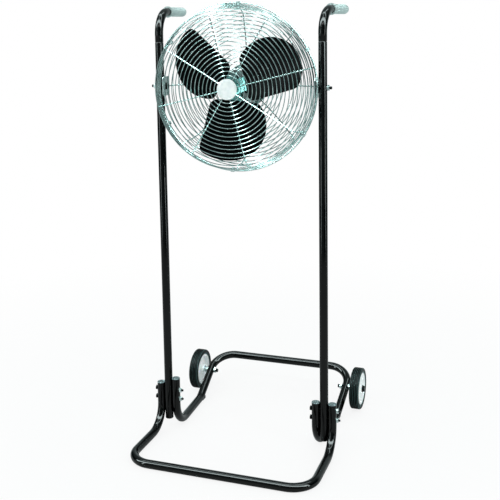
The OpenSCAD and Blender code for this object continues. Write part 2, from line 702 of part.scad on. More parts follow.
// An end bell, drawn with its outer face at z = 0 and its mouth towards +z
module bell() {
    wall = 3;
    lip = 4;
    fillet = 7;
    seat_r = bearing_d / 2 + plug_fit;
    difference() {
        union() {
            rotate_extrude() polygon(concat([[seat_r, 0], [motor_r - fillet, 0]],
                arc([motor_r - fillet, fillet], fillet, -90, 0, 6), [[motor_r, bell_len - lip],
                [shell_in_r - plug_fit, bell_len - lip], [shell_in_r - plug_fit, bell_len],
                [shell_in_r - 3, bell_len], [shell_in_r - 3, fillet + wall],
                [motor_r - fillet - wall, wall], [seat_r + 4, wall], [seat_r + 4, bearing_inset + bearing_w],
                [seat_r, bearing_inset + bearing_w]]));
            cylinder(r = seat_r + 1, h = bearing_inset - seat);
        }
        translate([0, 0, -1]) cylinder(r = shaft_d / 2 + 1, h = bearing_inset + 2);
        for (i = [0:11]) rotate([0, 0, i * 30]) translate([0, 0, -1]) linear_extrude(wall + 1.5)
            polygon([for (p = rounded(15, 5, 2.4, 2)) p + [seat_r + 14, 0]]);
        for (i = [0:3]) rotate([0, 0, 45 + i * 90]) translate([through_r, 0, -1])
            cylinder(d = through_d + 2 * hole_fit, h = bell_len + 2);
    }
}
module motor_front_bell() { color("#b3babb") at_head() along_y(motor_front_y) bell(); }
module motor_rear_bell() {
    color("#b3babb") at_head() difference() {
        translate([0, motor_back_y, 0]) rotate([90, 0, 0]) bell();
        plate_screw_places() along_y(motor_back_y - 10) cylinder(d = plate_screw_d + 2 * plug_fit, h = 12);
    }
}
module motor_through_bolts() {
    color("#9aa1a2") at_head() around(4, 45) translate([0, 0, through_r]) {
        along_y(motor_front_y - 3.2 - seat) hex(8, 3.2);
        along_y(motor_front_y - 1) cylinder(d = through_d, h = motor_len);
    }
}
module stator_core() {
    color("#7b7f80") at_head() difference() {
        along_y(stack_y) linear_extrude(stack_len) section(shell_in_r - plug_fit, rotor_r + air_gap);
        around(4, 45) translate([0, 0, through_r]) along_y(stack_y - 1) cylinder(d = through_d + 3, h = stack_len + 2);
    }
}
module stator_windings() {
    coil_r = (rotor_r + air_gap + through_r - through_d) / 2 + 1;
    coil_w = 6;
    color("#a5541f") at_head() for (y = [stack_y - coil_w - seat, stack_y + stack_len + coil_w + seat])
        along_y(y) rotate_extrude() translate([coil_r, 0]) circle(coil_w, $fn = 32);
}
module bearing() {
    difference() {
        cylinder(d = bearing_d, h = bearing_w);
        translate([0, 0, -1]) cylinder(d = shaft_d + 2 * running, h = bearing_w + 2);
        for (z = [-1, bearing_w - 1]) translate([0, 0, z]) linear_extrude(2) section(bearing_d / 2 - 3, shaft_d / 2 + 3);
    }
}
module front_bearing() { color("#a9afb0") at_head() along_y(motor_front_y + bearing_inset) bearing(); }
module rear_bearing() { color("#a9afb0") at_head() along_y(motor_back_y - bearing_inset - bearing_w) bearing(); }

// Propeller and rotor
module motor_shaft() {
    back = motor_back_y - bearing_inset - seat;
    color("#b4babb") at_head() along_y(shaft_front_y) cylinder(d = shaft_d, h = back - shaft_front_y);
}
module rotor() {
    color("#8a8f90") at_head() along_y(stack_y) linear_extrude(stack_len) section(rotor_r, shaft_d / 2 + plug_fit);
}

// The blade's sheet is part of a cylinder along the blade, seen square on from the front as its outline
camber_c = [chord_shift + camber_r * sin(blade_pitch),
    blade_mid_y + chord_shift * tan(blade_pitch) - camber_r * cos(blade_pitch)];
tip_fillet = 28;
root_fillet = 24;
lobe_t = -2;
function blade_outline() = let (
    tip_c = [tip_fillet - trail_t, lobe_s + sqrt(pow(lobe_r - tip_fillet, 2) - pow(tip_fillet - trail_t - lobe_t, 2))],
    tip_a = atan2(tip_c.y - lobe_s, tip_c.x - lobe_t),
    root_y = root_s + root_fillet,
    root_c = [lobe_t + sqrt(pow(lobe_r - root_fillet, 2) - pow(root_y - lobe_s, 2)), root_y],
    root_a = atan2(root_y - lobe_s, root_c.x - lobe_t))
    concat(arc([lobe_t, lobe_s], lobe_r, root_a, tip_a, 40), arc(tip_c, tip_fillet, tip_a, 180, 8),
        arc([root_fillet - trail_t, root_y], root_fillet, 180, 270, 8), arc(root_c, root_fillet, 270, 360 + root_a, 5));
// Children at a point of the blade, s from the axis and t along the chord, with +Y square to the sheet
module on_blade(s, t) {
    translate([-camber_c.x, camber_c.y, s]) rotate([0, 0, asin((t - camber_c.x) / camber_r)])
        translate([0, camber_r, 0]) children();
}
// A shell between two radii about the camber's axis
module camber_shell(r_in, r_out, s) {
    translate([-camber_c.x, camber_c.y, s]) linear_extrude(300) intersection() {
        section(r_out, r_in, $fn = 180);
        rotate(90 + blade_pitch) translate([0, -camber_r]) square([2 * camber_r, 2 * camber_r]);
    }
}
module seen_from_front(points) {
    rotate([90, 0, 0]) translate([0, 0, -100]) linear_extrude(300) mirror([1, 0]) polygon(points);
}
rivet_spots = [for (s = [58, 94], t = [-13, 13]) [s, t]];
module blade(i) {
    color("#111111") at_head() rotate([0, blade_turn + i * 360 / blade_count, 0]) difference() {
        intersection() {
            camber_shell(camber_r, camber_r + blade_t, 0);
            seen_from_front(blade_outline());
        }
        for (p = rivet_spots) on_blade(p.x, p.y) along_y(-2) cylinder(d = rivet_d + 2 * plug_fit, h = blade_t + 4);
    }
}
module blade_1() { blade(0); }
module blade_2() { blade(1); }
module blade_3() { blade(2); }

// The spider's arms lie on the back of the blades
module blade_spider() {
    back_in = camber_r + blade_t + seat;
    color("#a8c4c2") at_head() difference() {
        union() {
            around(blade_count, blade_turn) intersection() {
                camber_shell(back_in, back_in + spider_t, 0);
                seen_from_front([for (p = rounded(spider_arm_w, spider_reach + 20, 14))
                    p + [0, (spider_reach + 20) / 2 - 20]]);
            }
            along_y(boss_front_y) cylinder(r = hub_boss_r, h = boss_len);
            along_y(blade_mid_y + 2) cylinder(r = 31, h = 6);
        }
        along_y(boss_front_y - 1) cylinder(d = shaft_d + 2 * plug_fit, h = boss_len + 2);
        around(blade_count, blade_turn) for (p = rivet_spots)
            on_blade(p.x, p.y) along_y(-2) cylinder(d = rivet_d + 2 * plug_fit, h = blade_t + spider_t + 6);
        translate([0, set_screw_y, 0]) cylinder(d = 6 + 2 * plug_fit, h = hub_boss_r + 4);
    }
}
set_screw_y = boss_front_y + boss_len - 6;
module spider_set_screw() {
    color("#33383a") at_head() translate([0, set_screw_y, shaft_d / 2 + seat])
        cylinder(d = 6, h = hub_boss_r + 2 - shaft_d / 2);
}
module blade_rivets() {
    grip_t = blade_t + seat + spider_t;
    color("#bfc6c7") at_head() around(blade_count, blade_turn) for (p = rivet_spots) on_blade(p.x, p.y) {
        along_y(-0.5) cylinder(d = rivet_d, h = grip_t + 1);
        for (end = [-seat, grip_t + seat]) translate([0, end, 0]) rotate([end < 0 ? 90 : -90, 0, 0])
            rotate_extrude() polygon([[0, 0], [rivet_d, 0], [rivet_d * 0.85, 1.2], [rivet_d * 0.4, 1.9], [0, 1.9]]);
    }
}

// Switch box on the motor plate
box_screw_d = 4;
module box_screw_places() {
    for (x = [-1, 1], z = [-1, 1]) translate([x * (box_w / 2 - 7), 0, z * (box_h / 2 - 7)]) children();
}
module switch_box() {
    color("#1b1b1b") at_head() difference() {
        union() {
            difference() {
                translate([0, box_back_y, 0]) rotate([90, 0, 0]) linear_extrude(box_len - seat)
                    polygon(rounded(box_w, box_h, 9));
                translate([0, box_back_y - box_t, 0]) rotate([90, 0, 0]) linear_extrude(box_len)
                    polygon(rounded(box_w - 2 * box_t, box_h - 2 * box_t, 9 - box_t));
            }
            box_screw_places() along_y(box_y + seat) cylinder(d = box_screw_d + 5.2, h = box_len - box_t);
        }
        box_screw_places() along_y(box_y - 1) cylinder(d = box_screw_d + 2 * hole_fit, h = box_len + 2);
        translate([0, 0, knob_z]) along_y(box_back_y - box_t - 1) cylinder(d = spindle_d + 2, h = box_t + 2);
        translate([gland_x, gland_y, -box_h / 2 - 1]) cylinder(r = gland_r + hole_fit, h = box_t + 2);
    }
}
module switch_box_screws() {
    color("#3a3f40") at_head() box_screw_places() {
        along_y(box_back_y + seat) cylinder(d = 7.5, h = 2.4);
        along_y(box_y - plate_t + 1) cylinder(d = box_screw_d, h = box_len + plate_t);
    }
}
module rotary_switch() {
    body_w = 30;
    body_t = 22;
    color("#d8d8d0") at_head() difference() {
        translate([-body_w / 2, box_back_y - box_t - seat - body_t, knob_z - body_w / 2]) cube([body_w, body_t, body_w]);
        translate([0, 0, knob_z]) along_y(box_back_y - box_t - 16) cylinder(d = spindle_d + 2 * running, h = 20);
    }
}
module capacitor() {
    cap_r = 10.5;
    cap_len = 36;
    color("#4c5254") at_head() translate([gland_x + 13, box_y + 16, -box_h / 2 + box_t + cap_r + seat]) along_x(0)
        cylinder(r = cap_r, h = cap_len);
}
gland_x = -19;
gland_y = box_y + box_len / 2;
gland_r = 8;
module cord_gland() {
    color("#232323") at_head() translate([gland_x, gland_y, -box_h / 2]) difference() {
        union() {
            translate([0, 0, -6 - seat]) hex(20, 6);
            translate([0, 0, -7]) cylinder(r = gland_r, h = 7 + box_t + 6);
            translate([0, 0, -6 - seat - 12]) rotate_extrude() polygon([[0, 0], [gland_r - 2, 0], [gland_r + 1, 5],
                [gland_r + 1, 12.5], [0, 12.5]]);
            translate([0, 0, box_t + seat]) hex(19, 4);
        }
        translate([0, 0, -30]) cylinder(d = cord_d, h = 60);
    }
}
module speed_knob() {
    knob_len = 15;
    color("#1a1a1a") at_head() translate([0, 0, knob_z]) {
        along_y(box_back_y + 0.4) difference() {
            rotate_extrude() polygon(concat([[0, 0], [knob_d / 2, 0], [knob_d / 2, 4], [knob_d / 2 - 4, 6]],
                arc([knob_d / 2 - 7, knob_len - 3], 3, 0, 90, 4), [[0, knob_len]]));
            for (side = [-1, 1]) translate([side * (knob_d / 2 + 1) - 6, -knob_d, 6]) cube([12, 2 * knob_d, knob_len]);
        }
        along_y(box_back_y - box_t - 15) cylinder(d = spindle_d, h = box_t + 16);
    }
}

post_left();
post_right();
handle_tube_left();
handle_tube_right();
grip_left();
grip_right();
front_base_frame();
rear_base_frame();
upright_caps();
post_plugs();
frame_bolts();
frame_nuts();
glide_feet();
axle_bolts();
axle_washers();
axle_nuts();
axle_spacers();
tyre_left();
tyre_right();
wheel_hub_left();
wheel_hub_right();
wheel_bushing_left();
wheel_bushing_right();
pivot_bolts();
pivot_washers();
pivot_nuts();
head_bracket_left();
head_bracket_right();
front_guard();
rear_guard();
rim_clip_straps();
rim_clip_screws();
badge();
badge_clamp();
motor_plate();
motor_plate_screws();
motor_shell();
motor_front_bell();
motor_rear_bell();
motor_through_bolts();
stator_core();
stator_windings();
front_bearing();
rear_bearing();
switch_box();
switch_box_screws();
rotary_switch();
capacitor();
cord_gland();
speed_knob();
motor_shaft();
rotor();
blade_spider();
spider_set_screw();
blade_1();
blade_2();
blade_3();
blade_rivets();
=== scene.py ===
"""An industrial pedestal fan: a chromed wire guard and three black blades between the posts of a tube stand.

Sizes are in millimetres. X is to the right, Y to the back and Z up, with y = 0 in the posts' plane;
`row_point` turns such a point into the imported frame's metres. An angle about the fan's axis is counted
in degrees, clockwise from straight up as seen from the front.
"""

from __future__ import annotations

import logging
import math
from dataclasses import dataclass
from enum import Enum
from functools import cache
from itertools import product
from typing import Any, ClassVar, Sequence

import bmesh
import bpy
from mathutils import Matrix, Vector

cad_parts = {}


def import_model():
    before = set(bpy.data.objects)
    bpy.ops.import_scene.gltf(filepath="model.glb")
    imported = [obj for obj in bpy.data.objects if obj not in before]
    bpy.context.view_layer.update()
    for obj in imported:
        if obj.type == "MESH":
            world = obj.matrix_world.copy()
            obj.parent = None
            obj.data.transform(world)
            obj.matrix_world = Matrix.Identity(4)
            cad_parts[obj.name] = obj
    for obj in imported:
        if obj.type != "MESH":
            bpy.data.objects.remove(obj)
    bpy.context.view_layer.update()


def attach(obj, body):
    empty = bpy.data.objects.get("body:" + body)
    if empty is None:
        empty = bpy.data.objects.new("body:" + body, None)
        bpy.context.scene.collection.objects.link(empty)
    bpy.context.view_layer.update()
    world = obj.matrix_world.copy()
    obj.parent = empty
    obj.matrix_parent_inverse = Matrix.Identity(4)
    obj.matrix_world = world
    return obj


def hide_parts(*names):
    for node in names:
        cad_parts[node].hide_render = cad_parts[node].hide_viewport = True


LOG = logging.getLogger("fan")
MM = 0.001
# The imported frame's origin lies this far behind the posts' plane
MIDDLE_Y = 86.0
# Height of the head's pivots, where the propeller's axis crosses the posts' plane
AXIS_Z = 1243.0
# Gap between pieces that lie on each other, and the smaller one all round a bore
GAP = 0.1
FIT = 0.05
# An edge that turns by more degrees than this stays sharp, on what is built here and on the solids' copies
SHARP_FROM = 35.0
COPY_SHARP_FROM = 30.0
# An edge of a copy that turns by more degrees than this takes the bevel
BEVEL_FROM = 40.0

Point = Sequence[float]
Object = bpy.types.Object
Tree = bpy.types.NodeTree
Node = bpy.types.Node
Socket = bpy.types.NodeSocket


class Body(str, Enum):
    """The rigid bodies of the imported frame."""

    FRAME = "frame"
    HEAD = "head"
    PROPELLER = "propeller"
    WHEEL_LEFT = "wheel_left"
    WHEEL_RIGHT = "wheel_right"
    KNOB = "knob"


class Side(Enum):
    """A side of the fan, with its sign along X."""

    LEFT = -1
    RIGHT = 1

    @property
    def word(self) -> str:
        """The side's name as the frame's nodes spell it."""
        return self.name.lower()


# Points and colours


def row_point(x: float, y: float, z: float) -> Vector:
    """A point in millimetres from the posts' plane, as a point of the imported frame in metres."""
    return Vector((x * MM, (y - MIDDLE_Y) * MM, z * MM))


def head_point(x: float, y: float, z: float) -> Vector:
    """The same for a point whose height is counted from the propeller's axis."""
    return row_point(x, y, z + AXIS_Z)


def about_axis(radius: float, y: float, angle: float) -> tuple[float, float, float]:
    """A point of the head at a radius and an angle about the propeller's axis, in millimetres."""
    turn = math.radians(angle)
    return radius * math.sin(turn), y, radius * math.cos(turn)


def linear(code: str) -> tuple[float, float, float, float]:
    """Turns an sRGB hex code into the linear colour that a shader takes.

    Args:
        code: Six hex digits after a hash sign.

    Returns:
        Red, green, blue and an alpha of 1.
    """
    channels = [int(code[i : i + 2], 16) / 255 for i in (1, 3, 5)]
    curve = [c / 12.92 if c <= 0.04045 else ((c + 0.055) / 1.055) ** 2.4 for c in channels]
    return curve[0], curve[1], curve[2], 1.0


def per_metre(size: float) -> float:
    """The scale of a pattern on Object coordinates whose features are `size` millimetres apart."""
    return 1.0 / (size * MM)


def arc(centre: Point, radius: float, start: float, end: float, steps: int = 8) -> list[tuple[float, float]]:
    """Points along an arc in a plane.

    Args:
        centre: The arc's centre.
        radius: Its radius.
        start: The angle of its first point, in degrees.
        end: The angle of its last point, in degrees.
        steps: The number of chords.

    Returns:
        The points, one more than the chords.
    """
    turns = [math.radians(start + (end - start) * i / steps) for i in range(steps + 1)]
    return [(centre[0] + radius * math.cos(t), centre[1] + radius * math.sin(t)) for t in turns]


# Objects and node trees


def shown(name: str, data: bpy.types.ID) -> Object:
    """Makes an object and links it to the scene.

    Args:
        name: The object's name.
        data: Its mesh, lamp or camera.

    Returns:
        The new object.
    """
    made = bpy.data.objects.new(name, data)
    bpy.context.scene.collection.objects.link(made)
    return made


def add_node(tree: Tree, kind: str, inputs: dict | None = None, **settings: Any) -> Node:
    """Adds a node with its settings and links.

    Args:
        tree: The tree that takes the node.
        kind: The node's type name.
        inputs: A value or an output socket for each input, by the input's name or number.
        **settings: The node's own attributes.

    Returns:
        The new node.
    """
    node = tree.nodes.new(kind)
    for name, value in settings.items():
        setattr(node, name, value)
    for key, value in (inputs or {}).items():
        if isinstance(value, Socket):
            tree.links.new(value, node.inputs[key])
        else:
            node.inputs[key].default_value = value
    return node


@dataclass
class ShapeTree:
    """A Geometry Nodes tree with named inputs, and what runs it on a source mesh."""

    name: str
    sockets: dict[str, tuple[str, Any]]

    def __post_init__(self) -> None:
        """Makes the empty tree with its inputs and its output."""
        self.tree = bpy.data.node_groups.new(self.name, "GeometryNodeTree")
        face = self.tree.interface
        face.new_socket("Geometry", in_out="INPUT", socket_type="NodeSocketGeometry")
        self.identifiers = {}
        for label, (kind, default) in {**self.sockets, "Finish": ("NodeSocketMaterial", None)}.items():
            socket = face.new_socket(label, in_out="INPUT", socket_type=kind)
            if default is not None:
                socket.default_value = default
            self.identifiers[label] = socket.identifier
        face.new_socket("Geometry", in_out="OUTPUT", socket_type="NodeSocketGeometry")
        self.inputs = add_node(self.tree, "NodeGroupInput").outputs

    def close(self, geometry: Socket) -> ShapeTree:
        """Ends the tree: instances become real, and the finish goes on.

        Args:
            geometry: The socket that holds the shape.

        Returns:
            This tree.
        """
        real = add_node(self.tree, "GeometryNodeRealizeInstances", {"Geometry": geometry})
        smooth = add_node(self.tree, "GeometryNodeSetShadeSmooth", {"Geometry": real.outputs["Geometry"]})
        finish = {"Geometry": smooth.outputs["Geometry"], "Material": self.inputs["Finish"]}
        dressed = add_node(self.tree, "GeometryNodeSetMaterial", finish)
        add_node(self.tree, "NodeGroupOutput", {"Geometry": dressed.outputs["Geometry"]})
        return self

    def run(self, name: str, source: bpy.types.Mesh, finish: Finish, **values: Any) -> Object:
        """Runs the tree on a mesh and keeps the result as a plain mesh.

        Args:
            name: The name of the new piece.
            source: The points or lines that the tree starts from.
            finish: The finish of the new piece.
            **values: The tree's inputs, with underscores for spaces.

        Returns:
            The piece, with no modifier left.
        """
        seed = shown(name + "_lines", source)
        modifier = seed.modifiers.new(self.name, "NODES")
        modifier.node_group = self.tree
        modifier[self.identifiers["Finish"]] = finish.material()
        for label, value in values.items():
            modifier[self.identifiers[label.replace("_", " ").capitalize()]] = value
        graph = bpy.context.evaluated_depsgraph_get()
        mesh = bpy.data.meshes.new_from_object(seed.evaluated_get(graph), depsgraph=graph)
        bpy.data.objects.remove(seed)
        mesh.name = name
        mesh.set_sharp_from_angle(angle=math.radians(SHARP_FROM))
        return shown(name, mesh)


def point_mesh(points: Sequence[Vector], edges: Sequence[tuple[int, int]] = (),
               **values: Sequence) -> bpy.types.Mesh:
    """A mesh of points and lines that carries values for a tree.

    Args:
        points: The places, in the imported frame.
        edges: Pairs of point numbers.
        **values: Named values, one for each point: numbers, or three numbers each.

    Returns:
        The mesh.
    """
    mesh = bpy.data.meshes.new("lines")
    mesh.from_pydata([tuple(p) for p in points], list(edges), [])
    for name, column in values.items():
        if isinstance(column[0], (tuple, Vector)):
            field = mesh.attributes.new(name, "FLOAT_VECTOR", "POINT")
            field.data.foreach_set("vector", [c for value in column for c in value])
        else:
            field = mesh.attributes.new(name, "FLOAT", "POINT")
            field.data.foreach_set("value", [float(value) for value in column])
    return mesh


class Shapes:
    """The trees that make what repeats or follows a line. Each is built on its first use."""

    @staticmethod
    @cache
    def bent_tube() -> ShapeTree:
        """A round tube or rod along a line of corners.

        The line's points carry `bend`, the bend's radius there, and `girth`, the share of the full radius.

        Returns:
            The tree.
        """
        shape = ShapeTree("Bent tube", {
            "Tube radius": ("NodeSocketFloat", 0.014), "Sides": ("NodeSocketInt", 32),
            "Bend steps": ("NodeSocketInt", 12)})
        return shape.close(Shapes._sweep(shape))

    @staticmethod
    def _sweep(shape: ShapeTree) -> Socket:
        """Adds the nodes that round a line's corners and sweep a circle along it.

        Args:
            shape: The tree that takes them.

        Returns:
            The socket that holds the tube.
        """
        tree, given = shape.tree, shape.inputs
        bend = add_node(tree, "GeometryNodeInputNamedAttribute", {"Name": "bend"}, data_type="FLOAT")
        girth = add_node(tree, "GeometryNodeInputNamedAttribute", {"Name": "girth"}, data_type="FLOAT")
        line = add_node(tree, "GeometryNodeMeshToCurve", {"Mesh": given["Geometry"]})
        rounded = add_node(tree, "GeometryNodeFilletCurve", {
            0: line.outputs[0], "Count": given["Bend steps"], "Radius": bend.outputs[0]}, mode="POLY")
        profile = add_node(tree, "GeometryNodeCurvePrimitiveCircle", {
            "Resolution": given["Sides"], "Radius": given["Tube radius"]})
        return add_node(tree, "GeometryNodeCurveToMesh", {
            "Curve": rounded.outputs[0], "Profile Curve": profile.outputs[0], "Scale": girth.outputs[0],
            "Fill Caps": True}).outputs[0]

    @staticmethod
    @cache
    def rings() -> ShapeTree:
        """Round wires about the propeller's axis, at points on it that carry `ring_radius`.

        Returns:
            The tree.
        """
        shape = ShapeTree("Wire rings", {"Wire radius": ("NodeSocketFloat", 0.0015),
                                         "Ring steps": ("NodeSocketInt", 144), "Sides": ("NodeSocketInt", 8)})
        tree, given = shape.tree, shape.inputs
        unit = add_node(tree, "GeometryNodeCurvePrimitiveCircle", {
            "Resolution": given["Ring steps"], "Radius": 1.0})
        upright = add_node(tree, "GeometryNodeTransform", {"Geometry": unit.outputs[0],
                                                           "Rotation": (math.pi / 2, 0, 0)})
        size = add_node(tree, "GeometryNodeInputNamedAttribute", {"Name": "ring_radius"}, data_type="FLOAT")
        placed = add_node(tree, "GeometryNodeInstanceOnPoints", {
            "Points": given["Geometry"], "Instance": upright.outputs[0], "Scale": size.outputs[0]})
        lines = add_node(tree, "GeometryNodeRealizeInstances", {"Geometry": placed.outputs[0]})
        profile = add_node(tree, "GeometryNodeCurvePrimitiveCircle", {
            "Resolution": given["Sides"], "Radius": given["Wire radius"]})
        swept = add_node(tree, "GeometryNodeCurveToMesh", {
            "Curve": lines.outputs[0], "Profile Curve": profile.outputs[0]})
        return shape.close(swept.outputs[0])

    @staticmethod
    @cache
    def spokes() -> ShapeTree:
        """Copies of one bent wire and of its weld beads, turned about the propeller's axis.

        Loose points that carry `bead` above zero get a bead.

        Returns:
            The tree.
        """
        shape = ShapeTree("Wire spokes", {
            "Tube radius": ("NodeSocketFloat", 0.002), "Sides": ("NodeSocketInt", 10),
            "Bend steps": ("NodeSocketInt", 8), "Bead radius": ("NodeSocketFloat", 0.0024),
            "Count": ("NodeSocketInt", 8), "First turn": ("NodeSocketFloat", 0.0),
            "Turn step": ("NodeSocketFloat", 0.785), "Centre": ("NodeSocketVector", (0, 0, 0))})
        tree, given = shape.tree, shape.inputs
        bead = add_node(tree, "GeometryNodeMeshIcoSphere", {
            "Radius": given["Bead radius"], "Subdivisions": 1})
        marked = add_node(tree, "GeometryNodeInputNamedAttribute", {"Name": "bead"}, data_type="FLOAT")
        beads = add_node(tree, "GeometryNodeInstanceOnPoints", {
            "Points": given["Geometry"], "Selection": marked.outputs[0], "Instance": bead.outputs[0]})
        joined = add_node(tree, "GeometryNodeJoinGeometry")
        tree.links.new(Shapes._sweep(shape), joined.inputs[0])
        tree.links.new(beads.outputs[0], joined.inputs[0])
        back = add_node(tree, "ShaderNodeVectorMath", {0: given["Centre"], 1: (-1, -1, -1)},
                        operation="MULTIPLY")
        centred = add_node(tree, "GeometryNodeTransform", {"Geometry": joined.outputs[0],
                                                           "Translation": back.outputs[0]})
        hubs = add_node(tree, "GeometryNodePoints", {"Count": given["Count"], "Position": given["Centre"]})
        index = add_node(tree, "GeometryNodeInputIndex")
        turn = add_node(tree, "ShaderNodeMath", {0: index.outputs[0], 1: given["Turn step"],
                                                 2: given["First turn"]}, operation="MULTIPLY_ADD")
        rotation = add_node(tree, "FunctionNodeAxisAngleToRotation", {
            "Axis": (0, 1, 0), "Angle": turn.outputs[0]})
        placed = add_node(tree, "GeometryNodeInstanceOnPoints", {
            "Points": hubs.outputs[0], "Instance": centred.outputs[0], "Rotation": rotation.outputs[0]})
        return shape.close(placed.outputs[0])

    @staticmethod
    @cache
    def scatter() -> ShapeTree:
        """Copies of one small piece at points that carry `turn`, three angles in radians.

        Returns:
            The tree.
        """
        shape = ShapeTree("Repeated piece", {"Piece": ("NodeSocketObject", None)})
        tree, given = shape.tree, shape.inputs
        piece = add_node(tree, "GeometryNodeObjectInfo", {"Object": given["Piece"]})
        turn = add_node(tree, "GeometryNodeInputNamedAttribute", {"Name": "turn"}, data_type="FLOAT_VECTOR")
        rotation = add_node(tree, "FunctionNodeEulerToRotation", {"Euler": turn.outputs[0]})
        placed = add_node(tree, "GeometryNodeInstanceOnPoints", {
            "Points": given["Geometry"], "Instance": piece.outputs["Geometry"],
            "Rotation": rotation.outputs[0]})
        return shape.close(placed.outputs[0])


# Finishes


@dataclass
class Surface:
    """A material in the making: its tree, its shader, and the Object coordinates that its patterns use."""

    tree: Tree
    shader: Node
    place: Socket


@dataclass(frozen=True)
class Finish:
    """What a surface is made of, with the shader's plain values.

    The metals keep the shader's own IOR.
    """

    name: str
    colour: str
    roughness: float
    metallic: float = 0.0
    ior: float = 1.5
    specular: float = 0.5

    def material(self) -> bpy.types.Material:
        """Finds the material, or builds it on the first call.

        Returns:
            The material.
        """
        found = bpy.data.materials.get(self.name)
        if found:
            return found
        made = bpy.data.materials.new(self.name)
        made.use_nodes = True
        shader = made.node_tree.nodes["Principled BSDF"]
        shader.inputs["Base Color"].default_value = linear(self.colour)
        shader.inputs["Roughness"].default_value = self.roughness
        shader.inputs["Metallic"].default_value = self.metallic
        shader.inputs["Specular IOR Level"].default_value = self.specular
        if not self.metallic:
            shader.inputs["IOR"].default_value = self.ior
        place = add_node(made.node_tree, "ShaderNodeTexCoord").outputs["Object"]
        self.detail(Surface(made.node_tree, shader, place))
        return made

    def detail(self, surface: Surface) -> None:
        """Adds the finish's own pattern. The plain finish has none."""

    def dress(self, surface: Surface, cloud: Socket, tone: str, tint: dict[str, float],
              dull: dict[str, float], grain: Socket, strength: float, depth: float) -> None:
        """Lets one pattern vary the colour and the roughness, and another one raise the surface.

        Args:
            surface: The material in the making.
            cloud: The pattern of the colour and the roughness.
            tone: The second tone, where that pattern is strong.
            tint: The pattern's range and the second tone's share there, by a Map Range node's names.
            dull: The pattern's range and the roughness there, by the same names.
            grain: The pattern that raises the surface.
            strength: The share of its slope that shows.
            depth: Its full height, in metres.
        """
        tree, shader = surface.tree, surface.shader
        share = add_node(tree, "ShaderNodeMapRange", {"Value": cloud, **tint})
        mixed = add_node(tree, "ShaderNodeMix", {
            "Factor": share.outputs["Result"], 6: linear(self.colour), 7: linear(tone)}, data_type="RGBA")
        worn = add_node(tree, "ShaderNodeMapRange", {"Value": cloud, **dull})
        bump = add_node(tree, "ShaderNodeBump", {"Strength": strength, "Distance": depth, "Height": grain})
        tree.links.new(mixed.outputs[2], shader.inputs["Base Color"])
        tree.links.new(worn.outputs["Result"], shader.inputs["Roughness"])
        tree.links.new(bump.outputs["Normal"], shader.inputs["Normal"])


@dataclass(frozen=True)
class PowderCoat(Finish):
    """Powder coat baked on steel: a glossy skin with a faint orange peel and a film of dust."""

    # Real orange peel is 1 to 3 mm from crest to crest, and the dust lies in patches as wide as a hand
    peel: float = 2.5
    patch: float = 45.0
    dust: str = "#2b3030"

    def detail(self, surface: Surface) -> None:
        """Adds the peel's bump, and the dust that lightens and dulls the coat in soft patches.

        Args:
            surface: The material in the making.
        """
        peel = add_node(surface.tree, "ShaderNodeTexNoise", {
            "Vector": surface.place, "Scale": per_metre(self.peel), "Detail": 1.0})
        patch = add_node(surface.tree, "ShaderNodeTexNoise", {
            "Vector": surface.place, "Scale": per_metre(self.patch), "Detail": 6.0, "Roughness": 0.6})
        self.dress(
            surface, patch.outputs["Fac"], self.dust, tint={"From Min": 0.5, "From Max": 0.8, "To Max": 0.35},
            dull={"From Min": 0.35, "From Max": 0.75, "To Min": self.roughness,
                  "To Max": self.roughness + 0.12},
            grain=peel.outputs["Fac"], strength=0.1, depth=0.00015)


@dataclass(frozen=True)
class PlatedMetal(Finish):
    """Bright plating on steel: two close tones in patches, with a haze where it is handled."""

    shade: str = "#8fa6a6"
    patch: float = 9.0
    # Distance between the drawing marks under the plating
    mark: float = 0.7
    haze: float = 0.1

    def detail(self, surface: Surface) -> None:
        """Adds the tones, the haze and the fine marks.

        Args:
            surface: The material in the making.
        """
        cloud = add_node(surface.tree, "ShaderNodeTexNoise", {
            "Vector": surface.place, "Scale": per_metre(self.patch), "Detail": 4.0, "Roughness": 0.6})
        mark = add_node(surface.tree, "ShaderNodeTexNoise", {
            "Vector": surface.place, "Scale": per_metre(self.mark), "Detail": 2.0})
        self.dress(
            surface, cloud.outputs["Fac"], self.shade, tint={"From Min": 0.35, "From Max": 0.7},
            dull={"From Min": 0.3, "From Max": 0.7, "To Min": self.roughness,
                  "To Max": self.roughness + self.haze},
            grain=mark.outputs["Fac"], strength=0.12, depth=0.00005)


@dataclass(frozen=True)
class Moulded(Finish):
    """Moulded plastic, vinyl or rubber: an even colour with a soft mottle and the mould's fine grain."""

    shade: str = "#808080"
    # Distance between the grains of the mould's texture
    grain: float = 1.2
    depth: float = 0.00005
    mottle: float = 14.0
    subsurface: float = 0.0

    def detail(self, surface: Surface) -> None:
        """Adds the mottle and the grain.

        Args:
            surface: The material in the making.
        """
        cloud = add_node(surface.tree, "ShaderNodeTexNoise", {
            "Vector": surface.place, "Scale": per_metre(self.mottle), "Detail": 5.0})
        skin = add_node(surface.tree, "ShaderNodeTexVoronoi", {
            "Vector": surface.place, "Scale": per_metre(self.grain)})
        self.dress(
            surface, cloud.outputs["Fac"], self.shade, tint={"From Min": 0.4, "From Max": 0.75},
            dull={"To Min": self.roughness - 0.06, "To Max": self.roughness + 0.08},
            grain=skin.outputs["Distance"], strength=0.35, depth=self.depth)
        surface.shader.inputs["Subsurface Weight"].default_value = self.subsurface
        surface.shader.inputs["Subsurface Scale"].default_value = 0.002


